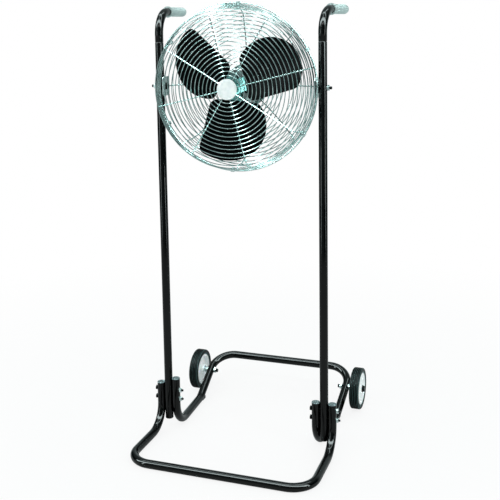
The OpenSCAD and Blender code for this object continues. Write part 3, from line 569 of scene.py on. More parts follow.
@dataclass(frozen=True)
class Tread(Moulded):
    """Moulded rubber whose grooves carry a pale painted highlight, standing in for the light lines along the
    tread.
    """

    # The grooves' pale teal tone is painted highlight
    dust: str = "#4a6362"
    # Where the tread's middle and its grooves lie along the axle, and half the width of a line of painted
    # highlight
    middle: float = 322.0
    pitch: float = 6.4
    reach: float = 0.9

    def detail(self, surface: Surface) -> None:
        """Adds the rubber's mottle and grain, and the painted highlight in the grooves.

        Args:
            surface: The material in the making.
        """
        super().detail(surface)
        tree, colour = surface.tree, surface.shader.inputs["Base Color"]
        rubber = colour.links[0].from_socket
        split = add_node(tree, "ShaderNodeSeparateXYZ", {0: surface.place})
        side = add_node(tree, "ShaderNodeMath", {0: split.outputs["X"]}, operation="ABSOLUTE")
        along = add_node(tree, "ShaderNodeMath", {0: side.outputs[0], 1: self.middle * MM},
                         operation="SUBTRACT")
        # Rises from nought in the middle of a rib to half the pitch in the middle of a groove
        near = add_node(tree, "ShaderNodeMath", {0: along.outputs[0], 1: self.pitch / 2 * MM},
                        operation="PINGPONG")
        # Each groove takes a line of the pale painted highlight
        groove_light_share = add_node(tree, "ShaderNodeMapRange", {
            "Value": near.outputs[0], "From Min": (self.pitch / 2 - self.reach) * MM,
            "From Max": (self.pitch / 2 - 0.6 * self.reach) * MM})
        lit_grooves = add_node(tree, "ShaderNodeMix", {
            "Factor": groove_light_share.outputs["Result"], 6: rubber, 7: linear(self.dust)}, data_type="RGBA")
        tree.links.new(lit_grooves.outputs[2], colour)


@dataclass(frozen=True)
class Worked(Finish):
    """Bare metal that was cast, ground or stacked: streaks or grains along one direction."""

    shade: str = "#606464"
    # Distance between grains along X, Y and Z; a long one makes streaks
    grain: tuple[float, float, float] = (0.8, 0.8, 0.8)
    depth: float = 0.0001

    def detail(self, surface: Surface) -> None:
        """Adds the streaks to the colour, the roughness and the bump.

        Args:
            surface: The material in the making.
        """
        stretched = add_node(surface.tree, "ShaderNodeMapping", {
            "Vector": surface.place, "Scale": tuple(per_metre(g) for g in self.grain)})
        streak = add_node(surface.tree, "ShaderNodeTexNoise", {
            "Vector": stretched.outputs[0], "Scale": 1.0, "Detail": 3.0}).outputs["Fac"]
        self.dress(
            surface, streak, self.shade, tint={"From Min": 0.3, "From Max": 0.7},
            dull={"To Min": self.roughness - 0.08, "To Max": self.roughness + 0.12},
            grain=streak, strength=0.3, depth=self.depth)


class Finishes:
    """Every finish of the fan."""

    # Gloss black polyester powder: near black, with sharp thin highlights
    PAINT = PowderCoat("gloss_black_powder_coat", "#010101", 0.06, specular=0.19, dust="#030404")
    # The blades' paint is thinner and duller, so it hardly shines behind the wires
    BLADE_PAINT = PowderCoat("satin_black_blade_paint", "#010101", 0.4, specular=0.02, peel=1.6,
                             dust="#030404")
    # Bright nickel-chrome on drawn wire: a cool mirror. Its darker second tone in wide patches is partly
    # random tarnish and partly painted reflection, light and dark stretches along the wires
    CHROME = PlatedMetal("bright_chrome_wire", "#c2d6d4", 0.1, 1.0, shade="#728f8c", patch=24.0, haze=0.06)
    # Clear zinc plate on stampings and nuts: paler and softer than chrome
    ZINC = PlatedMetal("clear_zinc_plate", "#d3dddc", 0.26, 1.0, shade="#9cb0af", patch=5.0)
    # Zinc with a blue-green passivation, as on the propeller's spider
    SPIDER_ZINC = PlatedMetal("blue_passivated_zinc", "#6f9c99", 0.42, 1.0, shade="#4f7f7c", patch=7.0)
    # Oiled black oxide on steel bolts: dark, with a dull shine on the edges
    BLACK_STEEL = PlatedMetal("oiled_black_oxide", "#1a1c1c", 0.34, 1.0, shade="#0b0c0c", patch=2.0)
    # Soft vinyl dipped or moulded over the tube: pale grey with a cool cast
    GRIP = Moulded("pale_grey_vinyl", "#b4c7c5", 0.5, shade="#a5bab8", grain=0.9)
    # Low-density polyethylene caps: waxy grey
    CAP = Moulded("grey_polyethylene", "#66787a", 0.45, shade="#55666a", grain=1.0)
    # Black nylon and polypropylene: plugs, pads, glands and washers
    BLACK_PLASTIC = Moulded("black_nylon", "#0d0e0e", 0.42, shade="#161818", grain=0.8)
    # Fibre friction discs: matte, with pale flecks
    FRICTION = Moulded("pressed_friction_fibre", "#0c0c0c", 0.8, shade="#262624", mottle=1.2)
    # Solid rubber tyres: matte black, with a pale painted highlight in the grooves of the tread
    TYRE = Tread("black_tyre_rubber", "#010202", 0.4, specular=0.07, shade="#050707", grain=0.7,
                 mottle=20.0)
    # White polypropylene wheel centres: semi-gloss
    HUB = Moulded("white_polypropylene", "#fbfdfd", 0.32, shade="#eef3f3", subsurface=0.05)
    # The badge's dome: glossy white styrene
    BADGE = Moulded("white_styrene", "#f1f6f5", 0.2, shade="#dde7e6", grain=2.2, depth=0.00008,
                    subsurface=0.04)
    # Sprayed ABS of the switch box, with a coarse spark texture
    BOX = Moulded("spark_textured_abs", "#121414", 0.5, shade="#1a1d1d", grain=1.5, depth=0.00015)
    KNOB = Moulded("polished_phenolic", "#0a0a0a", 0.18, shade="#101111", grain=5.0, depth=0.00001)
    MARK = Moulded("white_printed_mark", "#eef0ee", 0.45, shade="#dfe2e0")
    SWITCH = Moulded("cream_urea_moulding", "#d6d3c4", 0.4, shade="#c6c2b0")
    # Die-cast end bells: pale grey grains
    CAST = Worked("die_cast_aluminium", "#b6bbbb", 0.42, 1.0, shade="#8d9393", grain=(1.1, 1.1, 1.1))
    # The motor's steel shell under grey enamel
    MOTOR_PAINT = PowderCoat("grey_enamel", "#7d8888", 0.3, peel=3.0, dust="#9aa3a2")
    # Electrical steel sheets 0.5 mm thick, drawn 1 mm apart so that they show
    LAMINATION = Worked("stacked_electrical_steel", "#5b6061", 0.45, 1.0, shade="#2f3334",
                        grain=(40, 1.0, 40))
    COPPER = Worked("varnished_copper_wire", "#b5642f", 0.3, 1.0, shade="#7c3d1b", grain=(2.5, 2.5, 2.5))
    # Ground shaft and bearing steel: fine rings about the axis
    GROUND = Worked("ground_bearing_steel", "#bfc5c6", 0.2, 1.0, shade="#979d9e", grain=(9, 0.5, 9),
                    depth=0.00002)
    CAN = Worked("drawn_aluminium_can", "#9ea4a5", 0.35, 1.0, shade="#7c8283", grain=(30, 1.0, 1.0))


# Meshes and pieces


@dataclass
class Build:
    """A mesh that is put together in millimetres and then becomes a piece."""

    name: str
    finish: Finish

    def __post_init__(self) -> None:
        """Starts with an empty mesh."""
        self.mesh = bmesh.new()

    def grid(self, rows: Sequence[Sequence[Point]], round_rows: bool = False,
             round_columns: bool = False) -> Build:
        """Adds a sheet of faces through rows of points.

        Args:
            rows: The points of each row, as many in every row.
            round_rows: Whether each row runs back to its start.
            round_columns: Whether the last row joins the first.

        Returns:
            This mesh.
        """
        lines = [[self.mesh.verts.new(p) for p in row] for row in rows]
        across, down = len(rows[0]), len(rows)
        for i in range(down if round_columns else down - 1):
            for j in range(across if round_rows else across - 1):
                near, far = lines[i], lines[(i + 1) % down]
                self.mesh.faces.new((near[j], near[(j + 1) % across], far[(j + 1) % across], far[j]))
        return self

    def lathe(self, profile: Sequence[Point], segments: int = 48) -> Build:
        """Adds a turned shape about the Z axis.

        Args:
            profile: Points as radius and height. A closed shape starts and ends on the axis or meets itself.
            segments: The number of faces round it.

        Returns:
            This mesh.
        """
        turns = [2 * math.pi * j / segments for j in range(segments)]
        rows = [[Vector((r * math.cos(t), r * math.sin(t), h)) for t in turns] for r, h in profile]
        return self.grid(rows, round_rows=True)

    def prism(self, outline: Sequence[Point], low: float, high: float, edge: float = 0.0) -> Build:
        """Adds an upright prism whose upper rim is broken by a small slope.

        Args:
            outline: Its corners, counter-clockwise.
            low: The height of its lower face.
            high: The height of its upper face.
            edge: The width and height of the slope.

        Returns:
            This mesh.
        """
        middle = sum((Vector((x, y)) for x, y in outline), Vector((0, 0))) / len(outline)
        reaches = [Vector(p) - middle for p in outline]
        # Each rim's height, and how far it is drawn in towards the middle
        rims = [(low, 0.0), (high - edge, 0.0)]
        if edge:
            rims.append((high, edge))
        rows = [[Vector((*(middle + reach * (1 - inset / reach.length)), height)) for reach in reaches]
                for height, inset in rims]
        first = len(self.mesh.verts)
        self.grid(rows, round_rows=True)
        self.mesh.verts.ensure_lookup_table()
        count = len(outline)
        self.mesh.faces.new(reversed([self.mesh.verts[first + j] for j in range(count)]))
        last = first + (len(rows) - 1) * count
        self.mesh.faces.new([self.mesh.verts[last + j] for j in range(count)])
        return self

    def thread(self, radius: float, pitch: float, low: float, high: float, segments: int = 20) -> Build:
        """Adds a threaded rod about the Z axis, closed at its ends.

        Args:
            radius: The outer radius.
            pitch: The thread's pitch.
            low: The height of its start.
            high: The height of its tip.
            segments: The number of faces round it.

        Returns:
            This mesh.
        """
        # The groove's depth, and that of the narrow ends
        depth, end_depth = 0.55 * pitch, 0.6 * pitch
        steps = max(2, round((high - low) / pitch * 4))
        rows = [[Vector((0, 0, low))] * segments]
        for i in range(steps + 1):
            height = low + (high - low) * i / steps
            row = []
            for j in range(segments):
                phase = (height / pitch - j / segments) % 1.0
                groove = depth * (1 - abs(2 * phase - 1)) if 0 < i < steps else end_depth
                turn = 2 * math.pi * j / segments
                reach = radius - groove
                row.append(Vector((reach * math.cos(turn), reach * math.sin(turn), height)))
            rows.append(row)
        rows.append([Vector((0, 0, high))] * segments)
        return self.grid(rows, round_rows=True)

    def template(self) -> Object:
        """An object that a tree copies, in metres about its own origin."""
        return self._object(Matrix.Scale(MM, 4))

    def piece(self, move: Matrix | None = None) -> Object:
        """The finished object, with its place in its mesh.

        Args:
            move: Where the shape goes, in millimetres from the posts' plane.

        Returns:
            The new object.
        """
        here = Matrix.Translation((0, -MIDDLE_Y * MM, 0)) @ Matrix.Scale(MM, 4)
        return self._object(here @ (move or Matrix.Identity(4)))

    def _object(self, move: Matrix) -> Object:
        """Welds and orients the mesh and makes it an object.

        Args:
            move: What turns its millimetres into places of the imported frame.

        Returns:
            The new object.
        """
        bmesh.ops.transform(self.mesh, matrix=move, verts=self.mesh.verts)
        bmesh.ops.remove_doubles(self.mesh, verts=self.mesh.verts, dist=2e-6)
        flat = [f for f in self.mesh.faces if f.calc_area() < 1e-13]
        bmesh.ops.delete(self.mesh, geom=flat, context="FACES")
        bmesh.ops.recalc_face_normals(self.mesh, faces=self.mesh.faces)
        return finished(self.mesh, self.name, self.finish, SHARP_FROM)


def finished(work: bmesh.types.BMesh, name: str, finish: Finish, sharp: float) -> Object:
    """Turns a mesh in the making into an object with its finish.

    Args:
        work: The mesh, which is freed.
        name: The object's name.
        finish: Its finish.
        sharp: The turn, in degrees, from which an edge stays sharp.

    Returns:
        The new object.
    """
    for face in work.faces:
        face.smooth = True
    mesh = bpy.data.meshes.new(name)
    work.to_mesh(mesh)
    work.free()
    mesh.set_sharp_from_angle(angle=math.radians(sharp))
    mesh.materials.append(finish.material())
    return shown(name, mesh)


def settle(piece: Object, body: Body, slot: str, *nodes: str) -> Object:
    """Ties a finished piece to the frame.

    Args:
        piece: The piece, in place.
        body: The body that it rides on.
        slot: The record's material slot; not used.
        *nodes: The frame's nodes that it stands for.

    Returns:
        The same piece.
    """
    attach(piece, body.value)
    if nodes:
        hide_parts(*nodes)
    LOG.info("%s: %d faces on %s", piece.name, len(piece.data.polygons), body.value)
    return piece


def carried(node: str, finish: Finish, body: Body, slot: str, edge: float = 0.0) -> Object:
    """Dresses a welded copy of one of the frame's nodes, which it then stands for.

    Args:
        node: The node's name.
        finish: Its finish.
        body: The body that it rides on.
        slot: The record's material slot; not used.
        edge: The width of the bevel on its sharp edges, or 0 for none.

    Returns:
        The new piece.
    """
    source = bpy.data.objects[node]
    work = bmesh.new()
    work.from_mesh(source.data)
    bmesh.ops.remove_doubles(work, verts=work.verts, dist=1e-6)
    bmesh.ops.dissolve_limit(work, angle_limit=math.radians(0.5), verts=work.verts, edges=work.edges)
    piece = finished(work, node + "_finished", finish, COPY_SHARP_FROM)
    if edge:
        bevel = piece.modifiers.new("Broken edges", "BEVEL")
        bevel.width = edge * MM
        bevel.segments = 2
        bevel.limit_method = "ANGLE"
        bevel.angle_limit = math.radians(BEVEL_FROM)
        bevel.harden_normals = True
    return settle(piece, body, slot, node)


def scattered(name: str, template: Build, places: Sequence[Vector], turns: Sequence[Point], body: Body,
              slot: str, *nodes: str) -> Object:
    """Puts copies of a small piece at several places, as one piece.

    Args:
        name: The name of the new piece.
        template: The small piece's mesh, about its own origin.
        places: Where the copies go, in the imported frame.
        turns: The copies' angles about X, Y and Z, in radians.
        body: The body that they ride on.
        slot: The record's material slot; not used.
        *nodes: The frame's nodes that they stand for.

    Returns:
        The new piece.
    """
    model = template.template()
    source = point_mesh(places, turn=[tuple(t) for t in turns])
    piece = Shapes.scatter().run(name, source, template.finish, piece=model)
    bpy.data.objects.remove(model)
    return settle(piece, body, slot, *nodes)


# Turns that lay a shape drawn along +Z along another axis
ALONG_X = (0.0, math.pi / 2, 0.0)
ALONG_BACK = (-math.pi / 2, 0.0, 0.0)
TO_X = Matrix.Rotation(math.pi / 2, 4, "Y")
TO_BACK = Matrix.Rotation(-math.pi / 2, 4, "X")


def hexagon(across_flats: float) -> list[tuple[float, float]]:
    """The corners of a hexagon."""
    return arc((0, 0), across_flats / 2 / math.cos(math.pi / 6), 0, 300, 5)


# The stand


@dataclass
class Stand:
    """The tube stand: posts, handles, base frames, and what closes and bolts them."""

    tube_d: float = 28.6
    tube_pitch: float = 28.9
    post_x: float = 288.0
    post_foot_z: float = 44.0
    seam_z: float = 1392.0
    handle_z: float = 1495.5
    handle_bend: float = 77.0
    handle_reach: float = 243.0
    handle_turn: float = 3.7
    # The tubes' rims at the seam: how long their rounding is, and the share of the radius that it leaves
    seam_rim: float = 1.6
    seam_girth: float = 0.93
    grip_len: float = 156.0
    grip_wall: float = 1.4
    grip_ribs: int = 17
    first_rib: float = 11.0
    flange_r: float = 19.75
    cap_t: float = 3.5
    plug_r: float = 12.65
    plug_len: float = 14.0
    front_reach: float = 286.0
    front_corner: float = 80.0
    rail_bend: float = 83.0
    upright_top: float = 171.5
    left_extra: float = 20.0
    kink_y: float = 245.0
    rear_reach: float = 458.0
    rear_bar_z: float = 116.5
    rear_splay: float = 21.0
    kink_bend: float = 70.0
    rear_corner: float = 82.0
    bolt_d: float = 8.0
    bolt_pitch: float = 1.25
    # How far the thread starts inside the last tube, and how far the tip stands out past it
    thread_in: float = 6.0
    thread_out: float = 13.0
    bolt_zs: tuple[float, float] = (118.0, 150.0)

    @property
    def tube_r(self) -> float:
        """Outer radius of the tubes."""
        return self.tube_d / 2

    @property
    def outer_x(self) -> float:
        """Distance of the front frame's uprights from the middle."""
        return self.post_x + self.tube_pitch

    @property
    def inner_x(self) -> float:
        """Distance of the rear frame's uprights from the middle."""
        return self.post_x - self.tube_pitch

    def tube(self, name: str, corners: Sequence[Vector], bends: Sequence[float], *nodes: str,
             soft_start: bool = False, soft_end: bool = False) -> Object:
        """Sweeps a painted tube along a line of corners.

        Args:
            name: The name of the new piece.
            corners: The line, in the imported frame.
            bends: The bend's radius at each inner corner, in millimetres.
            *nodes: The frame's nodes that the tube stands for.
            soft_start: Whether the tube's rim is rounded at its start, as at a seam.
            soft_end: The same at its end.

        Returns:
            The tube.
        """
        line = list(corners)
        radii = [0.0, *bends, 0.0]
        girth = [1.0] * len(line)
        rim = self.seam_rim * MM
        if soft_start:
            line.insert(1, line[0] + (line[1] - line[0]).normalized() * rim)
            radii.insert(1, 0.0)
            girth = [self.seam_girth, 1.0, *girth[1:]]
        if soft_end:
            line.insert(-1, line[-1] + (line[-2] - line[-1]).normalized() * rim)
            radii.insert(-1, 0.0)
            girth = [*girth[:-1], 1.0, self.seam_girth]
        edges = [(i, i + 1) for i in range(len(line) - 1)]
        source = point_mesh(line, edges, bend=[r * MM for r in radii], girth=girth)
        made = Shapes.bent_tube().run(name, source, Finishes.PAINT, tube_radius=self.tube_r * MM, sides=40,
                                      bend_steps=14)
        return settle(made, Body.FRAME, "black_paint", *nodes)

    def build(self) -> None:
        """Builds the whole stand."""
        self.frames()
        for side in Side:
            self.post_and_handle(side)
            self.grip(side)
        self.caps()
        self.fasteners()
        carried("post_plugs", Finishes.BLACK_PLASTIC, Body.FRAME, "plug_plastic")
        carried("glide_feet", Finishes.BLACK_PLASTIC, Body.FRAME, "plug_plastic", 0.6)

    def frames(self) -> None:
        """Builds the front and the rear base frame."""
        out, low, top = self.outer_x, self.tube_r, self.upright_top
        front = [(out, 0, top), (out, 0, low), (out, -self.front_reach, low)]
        front += [(-x, y, z) for x, y, z in reversed(front)]
        self.tube("front_frame_tube", [row_point(*p) for p in front],
                  [self.rail_bend, self.front_corner, self.front_corner, self.rail_bend], "front_base_frame")
        toe = self.rear_splay / self.rear_reach
        half = [(self.inner_x, 0, low), (self.inner_x + toe * self.kink_y, self.kink_y, low),
                (self.inner_x + self.rear_splay, self.rear_reach, self.rear_bar_z)]
        rear = [(self.inner_x, 0, top), *half, *[(-x, y, z) for x, y, z in reversed(half)],
                (-self.inner_x, 0, top + self.left_extra)]
        bends = [self.rail_bend, self.kink_bend, self.rear_corner]
        self.tube("rear_frame_tube", [row_point(*p) for p in rear], bends + bends[::-1], "rear_base_frame")

    def post_and_handle(self, side: Side) -> None:
        """Builds a post and the bent handle tube that plugs into it.

        Args:
            side: The side that they stand on.
        """
        x = side.value * self.post_x
        ends = [row_point(x, 0, self.post_foot_z), row_point(x, 0, self.seam_z)]
        self.tube(f"post_tube_{side.word}", ends, [], f"post_{side.word}", soft_end=True)
        reach = self.handle_reach - self.cap_t
        turn = math.radians(self.handle_turn)
        far = (x + side.value * reach * math.sin(turn), reach * math.cos(turn), self.handle_z)
        corners = [row_point(x, 0, self.seam_z), row_point(x, 0, self.handle_z), row_point(*far)]
        self.tube(f"handle_bend_{side.word}", corners, [self.handle_bend], f"handle_tube_{side.word}",
                  soft_start=True)

    def grip(self, side: Side) -> None:
        """Builds a vinyl grip with slanted ribs and a rolled flange at its mouth.

        Args:
            side: The side of its handle.
        """
        sleeve, flange = self.tube_r + self.grip_wall, self.flange_r
        bore, floor = self.tube_r + FIT, self.grip_len - self.cap_t
        shape = Build(f"grip_sleeve_{side.word}", Finishes.GRIP)
        shape.lathe([(0, floor), (bore, floor), (bore, 0), (flange - 1.5, 0),
                     *arc((flange - 1.5, 1.5), 1.5, -75, 75, 6), (sleeve + 0.8, 4.0), (sleeve, 6.5),
                     *arc((sleeve - 4, self.grip_len - 4), 4, 0, 90, 6), (0, self.grip_len)])
        pitch = (self.grip_len - 16) / self.grip_ribs
        for i in range(self.grip_ribs):
            start = self.first_rib + i * pitch
            rib = [(sleeve - 0.4, start), (sleeve + 0.95, start + 1.2), (sleeve + 0.95, start + 3.6),
                   (sleeve - 0.4, start + 4.8)]
            shape.lathe([*rib, rib[0]], segments=40)
        place = (Matrix.Translation((side.value * self.post_x, 0, self.handle_z))
                 @ Matrix.Rotation(math.radians(-side.value * self.handle_turn), 4, "Z")
                 @ Matrix.Translation((0, self.handle_reach - self.grip_len, 0)) @ TO_BACK)
        settle(shape.piece(place), Body.FRAME, "grip_vinyl", f"grip_{side.word}")

    def caps(self) -> None:
        """Builds the plugs with domed caps in the four uprights of the base frames."""
        r, plug_r, low = self.tube_r, self.plug_r, -self.plug_len
        cap = Build("cap", Finishes.CAP).lathe(
            [(0, low), (plug_r, low), (plug_r, GAP), (r, GAP), *arc((r - 2.4, 1.1), 2.4, 0, 90, 6),
             (0, self.cap_t)], segments=40)
        tops = [(x, self.upright_top) for x in (-self.outer_x, self.outer_x, self.inner_x)]
        tops.append((-self.inner_x, self.upright_top + self.left_extra))
        scattered("upright_cap_set", cap, [row_point(x, 0, z) for x, z in tops], [(0, 0, 0)] * 4, Body.FRAME,
                  "cap_plastic", "upright_caps")

    def fasteners(self) -> None:
        """Builds the bolts through the three tubes of each side, and their nuts."""
        clamp = 2 * self.tube_pitch + self.tube_d
        head_t, across = 0.65 * self.bolt_d, 1.85 * self.bolt_d
        starts = [-self.outer_x - self.tube_r, self.inner_x - self.tube_r]
        places = [row_point(x, 0, z) for x in starts for z in self.bolt_zs]
        turns = [ALONG_X] * len(places)
        top, shank = -GAP - head_t, clamp - self.thread_in
        bolt = Build("bolt", Finishes.BLACK_STEEL)
        bolt.prism(hexagon(across), top, -GAP)
        bolt.lathe([(0, top - 0.7), (across / 2 - 1.4, top - 0.7), (across / 2 - 0.3, top + 0.05),
                    (0, top + 0.05)], segments=30)
        bolt.lathe([(0, -0.2), (self.bolt_d / 2, -0.2), (self.bolt_d / 2, shank), (0, shank)], segments=24)
        bolt.thread(self.bolt_d / 2, self.bolt_pitch, shank - 0.5, clamp + self.thread_out)
        scattered("frame_bolt_set", bolt, places, turns, Body.FRAME, "black_steel", "frame_bolts")
        nut = Build("nut", Finishes.ZINC)
        nut.prism(hexagon(across), clamp + GAP, clamp + GAP + 0.85 * self.bolt_d, edge=0.9)
        scattered("frame_nut_set", nut, places, turns, Body.FRAME, "zinc_steel", "frame_nuts")


# Wheels


@dataclass
class Wheels:
    """The two wheels, and the bolts, washers, spacers and nuts that hold them."""

    wheel_r: float = 76.0
    width: float = 36.0
    hub_r: float = 60.0
    inner_x: float = 304.0
    axle_y: float = 373.6
    axle_z: float = 76.0
    axle_r: float = 6.35
    bushing_t: float = 2.6
    grooves: int = 4

    def build(self) -> None:
        """Builds both wheels and their axles."""
        for side in Side:
            body = Body.WHEEL_LEFT if side is Side.LEFT else Body.WHEEL_RIGHT
            place = (Matrix.Translation((side.value * self.inner_x, self.axle_y, self.axle_z))
                     @ Matrix.Diagonal((side.value, 1, 1, 1)) @ TO_X)
            settle(self.tyre(side).piece(place), body, "tyre_rubber", f"tyre_{side.word}")
            settle(self.hub(side).piece(place), body, "hub_plastic", f"wheel_hub_{side.word}")
            carried(f"wheel_bushing_{side.word}", Finishes.GROUND, body, "bearing_steel")
        carried("axle_bolts", Finishes.BLACK_STEEL, Body.FRAME, "black_steel")
        carried("axle_washers", Finishes.BLACK_STEEL, Body.FRAME, "black_steel", 0.3)
        carried("axle_nuts", Finishes.ZINC, Body.FRAME, "zinc_steel", 0.5)
        carried("axle_spacers", Finishes.ZINC, Body.FRAME, "zinc_steel")

    def tyre(self, side: Side) -> Build:
        """The tyre's section turned about the axle: a rounded tread with grooves, and a stepped sidewall.

        Args:
            side: The side of its wheel.

        Returns:
            The tyre's mesh.
        """
        w, r, seat = self.width, self.wheel_r, self.hub_r - 1.45
        tread = []
        pitch = (w - 4) / (self.grooves + 1)
        for i in range(self.grooves):
            middle = w / 2 + (i - (self.grooves - 1) / 2) * pitch
            tread += [(r, middle - 1.5), (r - 0.5, middle - 1.2), (r - 2.4, middle - 0.8),
                      (r - 2.4, middle + 0.8), (r - 0.5, middle + 1.2), (r, middle + 1.5)]
        wall = [(seat, 2), (seat + 2.2, 1.2), (seat + 3.0, 1.9), (seat + 4.2, 1.9), (seat + 5.0, 0.9),
                (r - 5, 0)]
        back = [(h_r, w - h) for h_r, h in reversed(wall)]
        profile = [*wall, *arc((r - 5, 5), 5, -80, 0, 6), *tread, *arc((r - 5, w - 5), 5, 0, 80, 6), *back,
                   (seat, w - 6), (seat - 3.5, w - 8), (seat - 3.5, 8), (seat, 6)]
        return Build(f"tyre_ribbed_{side.word}", Finishes.TYRE).lathe([*profile, profile[0]], segments=96)

    def hub(self, side: Side) -> Build:
        """The hub's section turned about the axle: a boss, a dished web and a rim that holds the tyre.

        Args:
            side: The side of its wheel.

        Returns:
            The hub's mesh.
        """
        w, rim, boss = self.width, self.hub_r - 1.5, 17.0
        bore = self.axle_r + FIT + self.bushing_t + FIT
        profile = [(bore, 0), (boss, 0), (boss + 3, 10), (rim - 9.5, 13), (rim - 7.5, 3), (rim, 3), (rim, 6),
                   (rim - 3.5, 8), (rim - 3.5, w - 8), (rim, w - 6), (rim, w - 2.5), (rim - 1.2, w - 1.9),
                   (rim - 4.6, w - 1.9), (rim - 5.4, w - 2.9), (rim - 7.5, w - 3.1), (rim - 10.5, w - 6),
                   (boss + 6, w - 5), (boss + 2.4, w - 1.6), (boss, w), (bore, w)]
        return Build(f"hub_dished_{side.word}", Finishes.HUB).lathe([*profile, profile[0]], segments=72)


# The guard


@dataclass
class WirePath:
    """The outline of a spoke as radius and y, with the bend's radius at each inner corner."""

    corners: Sequence[tuple[float, float]]
    bends: Sequence[float]

    def unit(self, i: int) -> Vector:
        """The direction of stretch i."""
        return (Vector(self.corners[i + 1]) - Vector(self.corners[i])).normalized()

    def setback(self, i: int) -> float:
        """How far the bend at corner i starts before it."""
        turn = self.unit(i - 1).angle(self.unit(i))
        return self.bends[i - 1] * math.tan(turn / 2)

    def length(self, i: int) -> float:
        """The length of stretch i between its corners."""
        return (Vector(self.corners[i + 1]) - Vector(self.corners[i])).length

    def beside(self, i: int, along: float, off: float) -> Vector:
        """The point at a distance along stretch i, moved off to its outer side."""
        u = self.unit(i)
        return Vector(self.corners[i]) + u * along + Vector((u.y, -u.x)) * off


